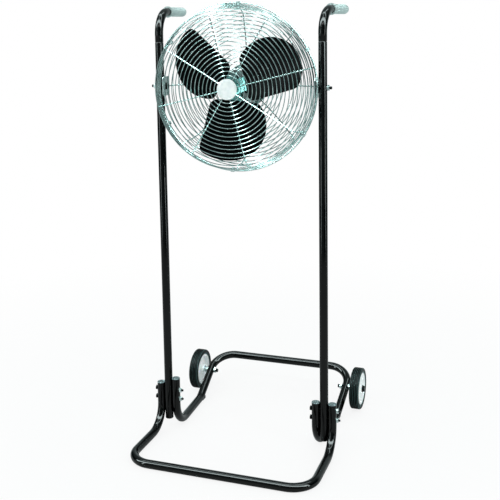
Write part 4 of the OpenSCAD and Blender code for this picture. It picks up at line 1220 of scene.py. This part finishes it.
@dataclass
class Guard:
    """The two halves of the wire guard, the clips at their rim, and the badge."""

    rim_r: float = 278.0
    rim_wire: float = 5.0
    ring_wire: float = 3.0
    spoke_wire: float = 4.0
    weld: float = 0.4
    # A weld bead's radius as a share of the spoke's wire
    bead: float = 0.62
    ring_pitch: float = 13.67
    first_ring: float = 31.33
    face_rings: int = 16
    spokes: int = 8
    front_turn: float = 31.0
    spoke_start_r: float = 20.0
    face_y: float = -112.0
    front_rim_y: float = -35.8
    rear_rim_y: float = -30.5
    corner_r: float = 257.0
    corner_bend: float = 25.0
    plate_y: float = 79.0
    wall_r: float = 261.3
    wall_ring_y: float = 15.0
    # The rear spokes' outline: the plate's edge, the ends of the flat and the slope, and the wall's ends
    plate_edge_r: float = 65.0
    flat_r: float = 150.0
    slope_r: float = 243.0
    slope_drop: float = 25.0
    wall_ys: tuple[float, float] = (20.0, -17.0)
    rear_bends: tuple[float, ...] = (120.0, 25.0, 30.0, 12.0)
    # How many rings lie on the flat, how far from its end the first one does, in pitches, and where on the
    # stretch down to the wall the one ring there lies, as a share of it
    flat_rings: int = 4
    flat_start: float = 0.3
    drop_share: float = 0.6
    badge_r: float = 34.0

    @property
    def ring_off(self) -> float:
        """Distance between the centres of a ring and the spoke that it is welded to."""
        return (self.ring_wire + self.spoke_wire) / 2 - self.weld

    @property
    def rim_off(self) -> float:
        """The same for a rim."""
        return (self.rim_wire + self.spoke_wire) / 2 - self.weld

    def front(self) -> tuple[WirePath, list[Vector]]:
        """Lays out the front half.

        Returns:
            The spokes' path, and the rings as radius and y.
        """
        spoke_y = self.face_y + self.ring_off
        path = WirePath([(self.spoke_start_r, spoke_y), (self.corner_r, spoke_y),
                         (self.rim_r - self.rim_off, self.front_rim_y + 2)], [self.corner_bend])
        rings = [Vector((self.first_ring + i * self.ring_pitch, self.face_y)) for i in range(self.face_rings)]
        back = path.setback(1)
        centre = Vector((self.corner_r - back, spoke_y + self.corner_bend))
        turn = path.unit(0).angle(path.unit(1))
        for i in (1, 2):
            a = i * turn / 3
            rings.append(centre + (self.corner_bend + self.ring_off) * Vector((math.sin(a), -math.cos(a))))
        pitch = self.ring_pitch - 1
        count = int((path.length(1) - back - self.rim_wire) // pitch)
        rings += [path.beside(1, back + i * pitch, self.ring_off) for i in range(count)]
        return path, rings

    def rear(self) -> tuple[WirePath, list[Vector]]:
        """Lays out the rear half.

        Returns:
            The spokes' path, and the rings as radius and y.
        """
        spoke_y = self.plate_y - self.spoke_wire / 2 - GAP
        corners = [(self.plate_edge_r, spoke_y), (self.flat_r, spoke_y),
                   (self.slope_r, spoke_y - self.slope_drop), *[(self.wall_r, y) for y in self.wall_ys],
                   (self.rim_r - 1, self.rear_rim_y + 1)]
        path = WirePath(corners, self.rear_bends)
        off = self.ring_off
        flat_end = self.flat_r - path.setback(1)
        rings = [Vector((flat_end - (i + self.flat_start) * self.ring_pitch, spoke_y + off))
                 for i in range(self.flat_rings)]
        slope = path.length(1) - path.setback(1) - path.setback(2)
        gaps = round(slope / self.ring_pitch)
        rings += [path.beside(1, path.setback(1) + i * slope / gaps, -off) for i in range(gaps + 1)]
        bend = self.rear_bends[1]
        centre = path.beside(1, path.setback(1) + slope, bend)
        rings.append(centre + (bend + off) * (Vector(corners[2]) - centre).normalized())
        rings.append(path.beside(2, self.drop_share * path.length(2), -off))
        rings += [Vector((self.wall_r + off, y)) for y in (self.wall_ring_y, -self.wall_ring_y)]
        return path, rings

    def build(self) -> None:
        """Builds both halves, the clips and the badge."""
        front, front_rings = self.front()
        rear, rear_rings = self.rear()
        step = 360 / self.spokes
        front_turns = (self.front_turn, step, self.spokes)
        self.half("front", front_rings, self.front_rim_y, [(front, front_turns, True)])
        level = WirePath([*rear.corners[:3], (self.wall_r, self.wall_ring_y - 1)], rear.bends[:2])
        self.half("rear", rear_rings, self.rear_rim_y, [
            (rear, (-step, step, 3), True), (rear, (180 - step, step, 3), True),
            (level, (90, 180, 2), False)])
        carried("rim_clip_straps", Finishes.ZINC, Body.HEAD, "zinc_steel", 0.4)
        carried("rim_clip_screws", Finishes.ZINC, Body.HEAD, "zinc_steel")
        self.badge()
        carried("badge_clamp", Finishes.ZINC, Body.HEAD, "zinc_steel", 0.3)

    def half(self, word: str, rings: Sequence[Vector], rim_y: float,
             sets: Sequence[tuple[WirePath, tuple[float, float, int], bool]]) -> None:
        """Builds one half of the guard.

        Args:
            word: "front" or "rear".
            rings: The rings as radius and y.
            rim_y: The y of the rim wire.
            sets: Spokes of one shape each: their path, their first angle, step and count, and whether
                they reach the rim.
        """
        node = f"{word}_guard"
        source = point_mesh([head_point(0, p.y, 0) for p in rings], ring_radius=[p.x * MM for p in rings])
        made = Shapes.rings().run(f"{word}_rings", source, Finishes.CHROME,
                                  wire_radius=self.ring_wire / 2 * MM)
        settle(made, Body.HEAD, "chrome_wire", node)
        source = point_mesh([head_point(0, rim_y, 0)], ring_radius=[self.rim_r * MM])
        made = Shapes.rings().run(f"{word}_rim", source, Finishes.CHROME, wire_radius=self.rim_wire / 2 * MM,
                                  ring_steps=192, sides=12)
        settle(made, Body.HEAD, "chrome_wire", node)
        for number, (path, (first, step, count), whole) in enumerate(sets):
            line = [head_point(0, y, r) for r, y in path.corners]
            welds = [self.weld_point(path, ring) for ring in rings]
            beads = [head_point(0, p.y, p.x) for p in welds if whole or p.x < self.wall_r - 1 or p.y > 0]
            radii = [0.0, *(b * MM for b in path.bends), 0.0]
            source = point_mesh([*line, *beads], [(i, i + 1) for i in range(len(line) - 1)],
                                bend=[*radii, *[0.0] * len(beads)], girth=[1.0] * (len(line) + len(beads)),
                                bead=[*[0.0] * len(line), *[1.0] * len(beads)])
            made = Shapes.spokes().run(
                f"{word}_spokes_{number + 1}", source, Finishes.CHROME, tube_radius=self.spoke_wire / 2 * MM,
                bead_radius=self.spoke_wire * self.bead * MM, count=count, first_turn=math.radians(first),
                turn_step=math.radians(step), centre=head_point(0, 0, 0))
            settle(made, Body.HEAD, "chrome_wire", node)

    def weld_point(self, path: WirePath, ring: Vector) -> Vector:
        """The middle of the weld between a ring and a spoke.

        Args:
            path: The spoke's path.
            ring: The ring's radius and y.

        Returns:
            The point on the ring's skin that faces the spoke, as radius and y.
        """
        best, found = math.inf, ring
        for i in range(len(path.corners) - 1):
            u = path.unit(i)
            along = min(max((ring - Vector(path.corners[i])).dot(u), 0), path.length(i))
            near = Vector(path.corners[i]) + u * along
            if (near - ring).length < best:
                best, found = (near - ring).length, near
        return ring + (found - ring).normalized() * self.ring_wire / 2

    def badge(self) -> None:
        """Builds the bare domed badge with its rolled lip."""
        r, back = self.badge_r, self.face_y - self.ring_wire / 2 - GAP
        stem = back + 6.7
        dome = [((r - 4) * math.cos(math.radians(a)), back - 4.4 - 3.2 * math.sin(math.radians(a)))
                for a in range(0, 91, 10)]
        profile = [(0, stem), (12, stem), (12, back), (r - 1, back), (r, back - 1), (r, back - 3),
                   *arc((r - 2, back - 3), 2, 0, -90, 6), (r - 3.2, back - 4.9), *dome]
        shape = Build("badge_dome", Finishes.BADGE).lathe(profile, segments=96)
        place = Matrix.Translation((0, 0, AXIS_Z)) @ TO_BACK
        settle(shape.piece(place), Body.HEAD, "badge_plastic", "badge")


# Head, motor and switch box


@dataclass
class Head:
    """What the guard hangs on: the pivots, the motor and its plate, and the switch box."""

    coil_r: float = 44.5
    coil_wire: float = 1.5
    coils: int = 24
    # A coil end's loop, how far its middle stands off the stack, and the strands' pitch in thicknesses
    loop_r: float = 4.2
    loop_off: float = 6.1
    strand_pitch: float = 1.9
    stack_ys: tuple[float, float] = (14.0, 50.0)
    knob_z: float = 8.0
    dot_ring_r: float = 22.0
    box_back_y: float = 120.0

    PLAIN: ClassVar[list[tuple[str, Finish, str, float]]] = [
        ("head_bracket_left", Finishes.ZINC, "zinc_steel", 0.6),
        ("head_bracket_right", Finishes.ZINC, "zinc_steel", 0.6),
        ("motor_plate", Finishes.ZINC, "zinc_steel", 0.5),
        ("motor_plate_screws", Finishes.ZINC, "zinc_steel", 0.4),
        ("motor_shell", Finishes.MOTOR_PAINT, "motor_steel", 0.0),
        ("motor_front_bell", Finishes.CAST, "bell_aluminium", 0.0),
        ("motor_rear_bell", Finishes.CAST, "bell_aluminium", 0.0),
        ("motor_through_bolts", Finishes.ZINC, "zinc_steel", 0.0),
        ("stator_core", Finishes.LAMINATION, "lamination", 0.0),
        ("front_bearing", Finishes.GROUND, "bearing_steel", 0.2),
        ("rear_bearing", Finishes.GROUND, "bearing_steel", 0.2),
        ("switch_box", Finishes.BOX, "box_plastic", 0.7),
        ("switch_box_screws", Finishes.BLACK_STEEL, "black_steel", 0.4),
        ("rotary_switch", Finishes.SWITCH, "switch_plastic", 0.8),
        ("capacitor", Finishes.CAN, "capacitor_can", 1.2),
        ("cord_gland", Finishes.BLACK_PLASTIC, "plug_plastic", 0.4),
    ]

    def build(self) -> None:
        """Builds the head apart from the guard and the propeller."""
        carried("pivot_bolts", Finishes.BLACK_STEEL, Body.FRAME, "black_steel", 0.3)
        carried("pivot_nuts", Finishes.ZINC, Body.FRAME, "zinc_steel", 0.3)
        carried("pivot_washers", Finishes.FRICTION, Body.FRAME, "friction_washer", 0.3)
        for node, finish, slot, edge in self.PLAIN:
            carried(node, finish, Body.HEAD, slot, edge)
        self.windings()
        carried("speed_knob", Finishes.KNOB, Body.KNOB, "knob_plastic", 0.5)
        self.dial()

    def windings(self) -> None:
        """Builds the coil ends on both faces of the stator as bundles of looped wire."""
        loop = Build("coil", Finishes.COPPER)
        steps, sides, strands = 20, 6, 3
        for strand in range(strands):
            spread = (strand - 1) * self.coil_wire * self.strand_pitch
            rows = []
            for i in range(steps):
                a = 2 * math.pi * i / steps
                middle = Vector((spread, self.loop_r * math.cos(a), self.loop_r * math.sin(a)))
                outward = Vector((0, math.cos(a), math.sin(a)))
                rows.append([middle + self.coil_wire * (outward * math.cos(b) + Vector((math.sin(b), 0, 0)))
                             for b in (2 * math.pi * j / sides for j in range(sides))])
            loop.grid(rows, round_rows=True, round_columns=True)
        places, turns = [], []
        for y in (self.stack_ys[0] - self.loop_off, self.stack_ys[1] + self.loop_off):
            for i in range(self.coils):
                angle = 360 * i / self.coils
                places.append(head_point(*about_axis(self.coil_r, y, angle)))
                turns.append((0.0, math.radians(angle), 0.0))
        scattered("coil_ends", loop, places, turns, Body.HEAD, "winding_copper", "stator_windings")

    def dial(self) -> None:
        """Builds the knob's pointer line, and the dots at its four positions on the box."""
        line = Build("knob_pointer", Finishes.MARK)
        line.prism([(-0.9, 4), (0.9, 4), (0.9, 14), (-0.9, 14)], 15.2, 15.7, 0.2)
        place = Matrix.Translation((0, self.box_back_y + 0.4, AXIS_Z + self.knob_z)) @ TO_BACK
        place = place @ Matrix.Rotation(math.pi, 4, "Z")
        settle(line.piece(place), Body.KNOB, "switch_plastic")
        dot = Build("dot", Finishes.MARK)
        dot.lathe([(0, -0.2), (1.3, -0.2), (1.3, 0.15), (1.0, 0.3), (0, 0.3)], segments=16)
        places = []
        for i in range(4):
            x, _, z = about_axis(self.dot_ring_r, 0, -45 * i)
            places.append(head_point(x, self.box_back_y, z + self.knob_z))
        scattered("dial_dots", dot, places, [ALONG_BACK] * 4, Body.HEAD, "switch_plastic")


# The propeller


@dataclass
class Propeller:
    """Three cambered sheet blades riveted to a spider on the motor's shaft."""

    blades: int = 3
    first_turn: float = 68.0
    pitch: float = 20.0
    sheet: float = 1.8
    lobe_r: float = 120.0
    lobe_s: float = 126.0
    lobe_t: float = -2.0
    trail: float = 70.0
    # Height at which the straight edge lies at `trail`, and how far it leans in towards the root, in degrees
    trail_s: float = 120.0
    trail_lean: float = 6.0
    root: float = 42.0
    tip_fillet: float = 28.0
    root_fillet: float = 24.0
    camber: float = 300.0
    blade_y: float = -45.0
    chord_shift: float = 22.0
    rivet_d: float = 5.0
    rivet_ss: tuple[float, float] = (58.0, 94.0)
    rivet_ts: tuple[float, float] = (-13.0, 13.0)
    spider_t: float = 3.0

    def on_blade(self, s: float, t: float, off: float) -> Vector:
        """A point of the blade that points straight up.

        Args:
            s: Distance from the axis along the blade.
            t: Distance along the chord, positive towards the leading edge.
            off: Distance behind the sheet's front face.

        Returns:
            The point, with its height counted from the axis.
        """
        slope = math.radians(self.pitch)
        cx = self.chord_shift + self.camber * math.sin(slope)
        cy = self.blade_y + self.chord_shift * math.tan(slope) - self.camber * math.cos(slope)
        a = math.asin((t - cx) / self.camber)
        r = self.camber + off
        return Vector((-cx - r * math.sin(a), cy + r * math.cos(a), s))

    def outline(self, steps: int = 40) -> list[tuple[float, float]]:
        """The outline of a blade.

        Args:
            steps: The number of chords of its round lobe.

        Returns:
            Its points as t and s, counter-clockwise from the root's leading corner.
        """
        f, g = self.tip_fillet, self.root_fillet
        lobe, edge = Vector((self.lobe_t, self.lobe_s)), Vector((-self.trail, self.trail_s))
        lean = math.radians(self.trail_lean)
        out, along = Vector((-math.cos(lean), -math.sin(lean))), Vector((-math.sin(lean), math.cos(lean)))
        start = edge - f * out - lobe
        half = start.dot(along)
        reach = math.sqrt(half * half - start.length_squared + (self.lobe_r - f) ** 2) - half
        tip = lobe + start + along * reach
        tip_a = math.degrees(math.atan2(tip.y - lobe.y, tip.x - lobe.x))
        low_s = self.root + g
        low = edge - g * out
        low += along * ((low_s - low.y) / along.y)
        lead = lobe.x + math.sqrt((self.lobe_r - g) ** 2 - (low_s - lobe.y) ** 2)
        lead_a = math.degrees(math.atan2(low_s - lobe.y, lead - lobe.x))
        return [*arc(lobe, self.lobe_r, lead_a, tip_a, steps), *arc(tip, f, tip_a, 180 + self.trail_lean, 8),
                *arc(low, g, 180 + self.trail_lean, 270, 8), *arc((lead, low_s), g, 270, 360 + lead_a, 5)]

    def span_at(self, s: float) -> tuple[float, float]:
        """The blade's two edges at a distance from the axis.

        Args:
            s: The distance.

        Returns:
            The lowest and the highest t.
        """
        loop = self.outline(120)
        found = []
        for (t0, s0), (t1, s1) in zip(loop, loop[1:] + loop[:1]):
            if (s0 - s) * (s1 - s) <= 0 and s0 != s1:
                found.append(t0 + (t1 - t0) * (s - s0) / (s1 - s0))
        return min(found), max(found)

    def build(self) -> None:
        """Builds the blades and rivets, and dresses the spider, the shaft and the rotor."""
        for i in range(self.blades):
            self.blade(i)
        self.rivets()
        carried("blade_spider", Finishes.SPIDER_ZINC, Body.PROPELLER, "spider_zinc", 0.3)
        carried("spider_set_screw", Finishes.BLACK_STEEL, Body.PROPELLER, "black_steel", 0.3)
        carried("motor_shaft", Finishes.GROUND, Body.PROPELLER, "bearing_steel", 0.6)
        carried("rotor", Finishes.LAMINATION, Body.PROPELLER, "lamination")

    def spin(self, number: int) -> Matrix:
        """The turn about the axis from the blade that points straight up to blade `number`."""
        return Matrix.Rotation(math.radians(self.first_turn + number * 360 / self.blades), 4, "Y")

    def blade(self, number: int) -> None:
        """Builds a blade as one closed sheet with a rounded rim.

        Args:
            number: The blade's number, from 0.
        """
        loop = self.outline()
        low, high = min(s for _, s in loop) + 0.01, max(s for _, s in loop) - 0.01
        rows, columns = 48, 26
        front, back = [], []
        for i in range(rows + 1):
            s = low + (high - low) * (1 - math.cos(math.pi * i / rows)) / 2
            t0, t1 = self.span_at(s)
            ts = [t0 + (t1 - t0) * (1 - math.cos(math.pi * j / columns)) / 2 for j in range(columns + 1)]
            front.append([self.on_blade(s, t, 0.0) for t in ts])
            back.append([self.on_blade(s, t, self.sheet) for t in reversed(ts)])
        shape = Build(f"blade_sheet_{number + 1}", Finishes.BLADE_PAINT)
        shape.grid([a + b for a, b in zip(front, back)], round_rows=True)
        for a, b in ((front[0], back[0]), (front[-1], back[-1])):
            shape.grid([a, b[::-1]])
        place = Matrix.Translation((0, 0, AXIS_Z)) @ self.spin(number)
        settle(shape.piece(place), Body.PROPELLER, "blade_black", f"blade_{number + 1}")

    def rivets(self) -> None:
        """Builds the rivets through the blades and the spider's arms."""
        d = self.rivet_d
        grip = self.sheet + self.spider_t + GAP
        dome = arc((0, -0.35 * d), 0.95 * d, 22, 90, 6)
        rivet = Build("rivet", Finishes.BLADE_PAINT).lathe(
            [(0, -2.0), (0.4 * d, -2.0), (0.85 * d, -1.3), (d, -GAP), (d / 2, -GAP), (d / 2, grip + GAP),
             (d * 0.93, grip + GAP), *[(r, grip + h * 0.55) for r, h in dome]], segments=20)
        places, turns = [], []
        for number in range(self.blades):
            spin = self.spin(number)
            for s, t in product(self.rivet_ss, self.rivet_ts):
                here = self.on_blade(s, t, 0.0)
                out = (self.on_blade(s, t, 1.0) - here).normalized()
                places.append(head_point(*(spin @ here)))
                turns.append(tuple((spin @ out).to_track_quat("Z", "Y").to_euler()))
        scattered("rivet_set", rivet, places, turns, Body.PROPELLER, "blade_black", "blade_rivets")


# Camera, light and floor


@dataclass
class Studio:
    """A pale floor under soft light, and the camera at the photograph's viewpoint."""

    camera_at: tuple[float, float, float] = (1.0059, -2.8442, 1.4641)
    yaw: float = 19.37
    pitch: float = 7.48
    roll: float = -0.84
    lens: float = 63.42
    shift_y: float = -0.2291
    backdrop: str = "#ffffff"
    floor_shade: str = "#f4f7f7"
    fill: str = "#eef6f6"
    fill_strength: float = 0.9
    # What mirrors see: a dark room, the cool gleam of all that is bright in it, a front wall and the ceiling
    room: str = "#334a4b"
    gleam: str = "#e0f4f4"
    wall_from: tuple[float, float, float] = (-0.3, -0.93, 0.2)
    wall_strength: float = 0.35
    ceiling_strength: float = 0.85
    # The cosines between which the white behind the fan, the wall and the ceiling come in
    white_edge: tuple[float, float] = (0.55, 0.85)
    wall_edge: tuple[float, float] = (0.5, 0.85)
    ceiling_edge: tuple[float, float] = (0.4, 0.8)
    # How far a long lamp reaches, as the least cosine of the angle to its middle, and its end's softness
    lamp_reach: float = 0.41
    lamp_fade: float = 0.08
    # Each long lamp's direction across it, the direction of its middle, half its width and its brightness
    long_lamps: tuple[tuple[Point, Point, float, float], ...] = (
        ((0, 0.85, 0.528), (0, -0.528, 0.85), 0.12, 34.0),
        ((0.76, -0.65, 0), (-0.3, -0.35, 0.89), 0.05, 20.0),
        ((0.18, 0.98, 0), (0.45, -0.09, 0.89), 0.05, 24.0))
    # Each soft box's name, its place, the point that it faces, its width, its height and its power
    soft_boxes: tuple[tuple[str, Point, Point, float, float, float], ...] = (
        ("strip_right", (2.4, -1.1, 1.5), (0.3, -0.1, 1.3), 0.2, 0.8, 5),
        ("strip_left", (-1.75, -2.1, 1.5), (-0.3, -0.1, 1.3), 0.2, 0.8, 5),
        ("strip_top", (0.4, -2.4, 3.3), (0, -0.2, 0.2), 2.4, 0.4, 16))
    # Half the floor's width, the distances between which it fades to white, and its own light at the fan
    floor_reach: float = 30.0
    floor_fade: tuple[float, float] = (0.7, 2.4)
    floor_glow: float = 0.85

    def build(self) -> None:
        """Sets up the camera, the lamps, the world and the floor."""
        self.camera()
        for soft_box in self.soft_boxes:
            self.lamp(*soft_box)
        self.world()
        self.floor()
        bpy.context.scene.view_settings.view_transform = "Standard"

    def camera(self) -> None:
        """Places the camera by its yaw to the left, its pitch downwards and its roll."""
        yaw, pitch, roll = (math.radians(a) for a in (self.yaw, self.pitch, self.roll))
        ahead = Vector((-math.sin(yaw) * math.cos(pitch), math.cos(yaw) * math.cos(pitch), -math.sin(pitch)))
        level = Vector((math.cos(yaw), math.sin(yaw), 0))
        above = level.cross(ahead)
        right = level * math.cos(roll) + above * math.sin(roll)
        up = above * math.cos(roll) - level * math.sin(roll)
        data = bpy.data.cameras.new("camera")
        data.sensor_width = 36.0
        data.lens = self.lens
        data.shift_y = self.shift_y
        camera = shown("camera", data)
        turn = Matrix((right, up, -ahead)).transposed().to_4x4()
        camera.matrix_world = Matrix.Translation(self.camera_at) @ turn
        bpy.context.scene.camera = camera

    def lamp(self, name: str, at: Point, aim: Point, width: float, height: float, power: float) -> None:
        """Adds a soft box.

        Args:
            name: The lamp's name.
            at: Its middle, in metres.
            aim: The point that it faces.
            width: Its width in metres.
            height: Its height in metres.
            power: Its power in watts.
        """
        data = bpy.data.lights.new(name, "AREA")
        data.shape = "RECTANGLE"
        data.size, data.size_y = width, height
        data.energy = power
        turn = (Vector(aim) - Vector(at)).to_track_quat("-Z", "Y").to_matrix().to_4x4()
        shown(name, data).matrix_world = Matrix.Translation(at) @ turn

    def tube_light(self, tree: Tree, place: Socket, across: Point, towards: Point,
                   width: float, power: float) -> Socket:
        """Adds the mirror image of a long lamp, as a band of directions.

        Args:
            tree: The world's tree.
            place: The direction that is looked up.
            across: The direction square to the lamp and to its beam.
            towards: The direction of the lamp's middle.
            width: Half the lamp's width, in radians.
            power: Its brightness.

        Returns:
            The lamp's brightness in that direction.
        """
        off = add_node(tree, "ShaderNodeVectorMath", {0: place, 1: across}, operation="DOT_PRODUCT")
        away = add_node(tree, "ShaderNodeMath", {0: off.outputs["Value"]}, operation="ABSOLUTE")
        band = add_node(tree, "ShaderNodeMapRange", {
            "Value": away.outputs[0], "From Min": width * 0.8, "From Max": width * 1.2, "To Min": power,
            "To Max": 0.0})
        facing = add_node(tree, "ShaderNodeVectorMath", {0: place, 1: towards}, operation="DOT_PRODUCT")
        ends = add_node(tree, "ShaderNodeMapRange", {
            "Value": facing.outputs["Value"], "From Min": self.lamp_reach,
            "From Max": self.lamp_reach + self.lamp_fade})
        return add_node(tree, "ShaderNodeMath", {0: band.outputs["Result"], 1: ends.outputs["Result"]},
                        operation="MULTIPLY").outputs[0]

    def world(self) -> None:
        """White where the camera looks past the fan, pale and even for the light that falls on it."""
        world = bpy.data.worlds.new("studio")
        world.use_nodes = True
        tree = world.node_tree
        tree.nodes.clear()
        path = add_node(tree, "ShaderNodeLightPath")
        place = add_node(tree, "ShaderNodeTexCoord")
        # Mirrors see the brightest of the white behind the fan, the wall, the ceiling and the long lamps
        way = place.outputs["Generated"]
        split = add_node(tree, "ShaderNodeSeparateXYZ", {0: way})
        facing = add_node(tree, "ShaderNodeVectorMath", {0: way, 1: self.wall_from}, operation="DOT_PRODUCT")
        patches = ((split.outputs["Y"], self.white_edge, 1.0),
                   (facing.outputs["Value"], self.wall_edge, self.wall_strength),
                   (split.outputs["Z"], self.ceiling_edge, self.ceiling_strength))
        parts = []
        for towards, (start, end), strength in patches:
            patch = add_node(tree, "ShaderNodeMapRange", {
                "Value": towards, "From Min": start, "From Max": end, "To Max": strength})
            parts.append(patch.outputs["Result"])
        parts += [self.tube_light(tree, way, *lamp) for lamp in self.long_lamps]
        bright = parts[0]
        for part in parts[1:]:
            bright = add_node(tree, "ShaderNodeMath", {0: bright, 1: part}, operation="MAXIMUM").outputs[0]
        room = add_node(tree, "ShaderNodeMix", {
            "Factor": bright, 6: linear(self.room), 7: linear(self.gleam)}, data_type="RGBA",
            clamp_factor=False)
        seen = add_node(tree, "ShaderNodeMix", {"Factor": path.outputs["Is Camera Ray"], 6: room.outputs[2],
                                                7: linear(self.backdrop)}, data_type="RGBA")
        picture = add_node(tree, "ShaderNodeBackground", {"Color": seen.outputs[2], "Strength": 1.0})
        fill = add_node(tree, "ShaderNodeBackground", {
            "Color": linear(self.fill), "Strength": self.fill_strength})
        looks = path.outputs["Is Camera Ray"]
        for ray in ("Is Glossy Ray", "Is Transmission Ray"):
            either = {0: looks, 1: path.outputs[ray]}
            looks = add_node(tree, "ShaderNodeMath", either, operation="MAXIMUM").outputs[0]
        mixed = add_node(tree, "ShaderNodeMixShader", {0: looks, 1: fill.outputs[0], 2: picture.outputs[0]})
        add_node(tree, "ShaderNodeOutputWorld", {"Surface": mixed.outputs[0]})
        bpy.context.scene.world = world

    def floor(self) -> None:
        """A wide pale floor that fades into the white behind it."""
        mesh = bpy.data.meshes.new("floor")
        far = self.floor_reach
        mesh.from_pydata([(-far, -far, 0), (far, -far, 0), (far, far, 0), (-far, far, 0)], [], [(0, 1, 2, 3)])
        made = bpy.data.materials.new("pale_floor")
        made.use_nodes = True
        tree = made.node_tree
        tree.nodes.clear()
        place = add_node(tree, "ShaderNodeTexCoord")
        away = add_node(tree, "ShaderNodeVectorMath", {0: place.outputs["Object"]}, operation="LENGTH")
        fade = add_node(tree, "ShaderNodeMapRange", {
            "Value": away.outputs["Value"], "From Min": self.floor_fade[0], "From Max": self.floor_fade[1],
            "To Min": self.floor_glow, "To Max": 1.0})
        paint = add_node(tree, "ShaderNodeBsdfDiffuse", {"Color": linear(self.floor_shade)})
        glow = add_node(tree, "ShaderNodeEmission", {"Color": linear(self.backdrop), "Strength": 1.0})
        path = add_node(tree, "ShaderNodeLightPath")
        share = add_node(tree, "ShaderNodeMath", {
            0: path.outputs["Is Camera Ray"], 1: fade.outputs["Result"]}, operation="MULTIPLY")
        mixed = add_node(tree, "ShaderNodeMixShader", {
            0: share.outputs[0], 1: paint.outputs[0], 2: glow.outputs[0]})
        add_node(tree, "ShaderNodeOutputMaterial", {"Surface": mixed.outputs[0]})
        mesh.materials.append(made)
        floor = shown("floor", mesh)


def corners(box: tuple[Vector, Vector]) -> list[list[float]]:
    """A box's two corners as plain lists of numbers."""
    return [list(corner) for corner in box]


def main() -> None:
    """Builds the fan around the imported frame, and the studio around the fan."""
    logging.basicConfig(level=logging.INFO, format="%(name)s: %(message)s")
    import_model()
    Studio().build()
    Stand().build()
    Wheels().build()
    Guard().build()
    Head().build()
    Propeller().build()


if __name__ == "__main__":
    main()
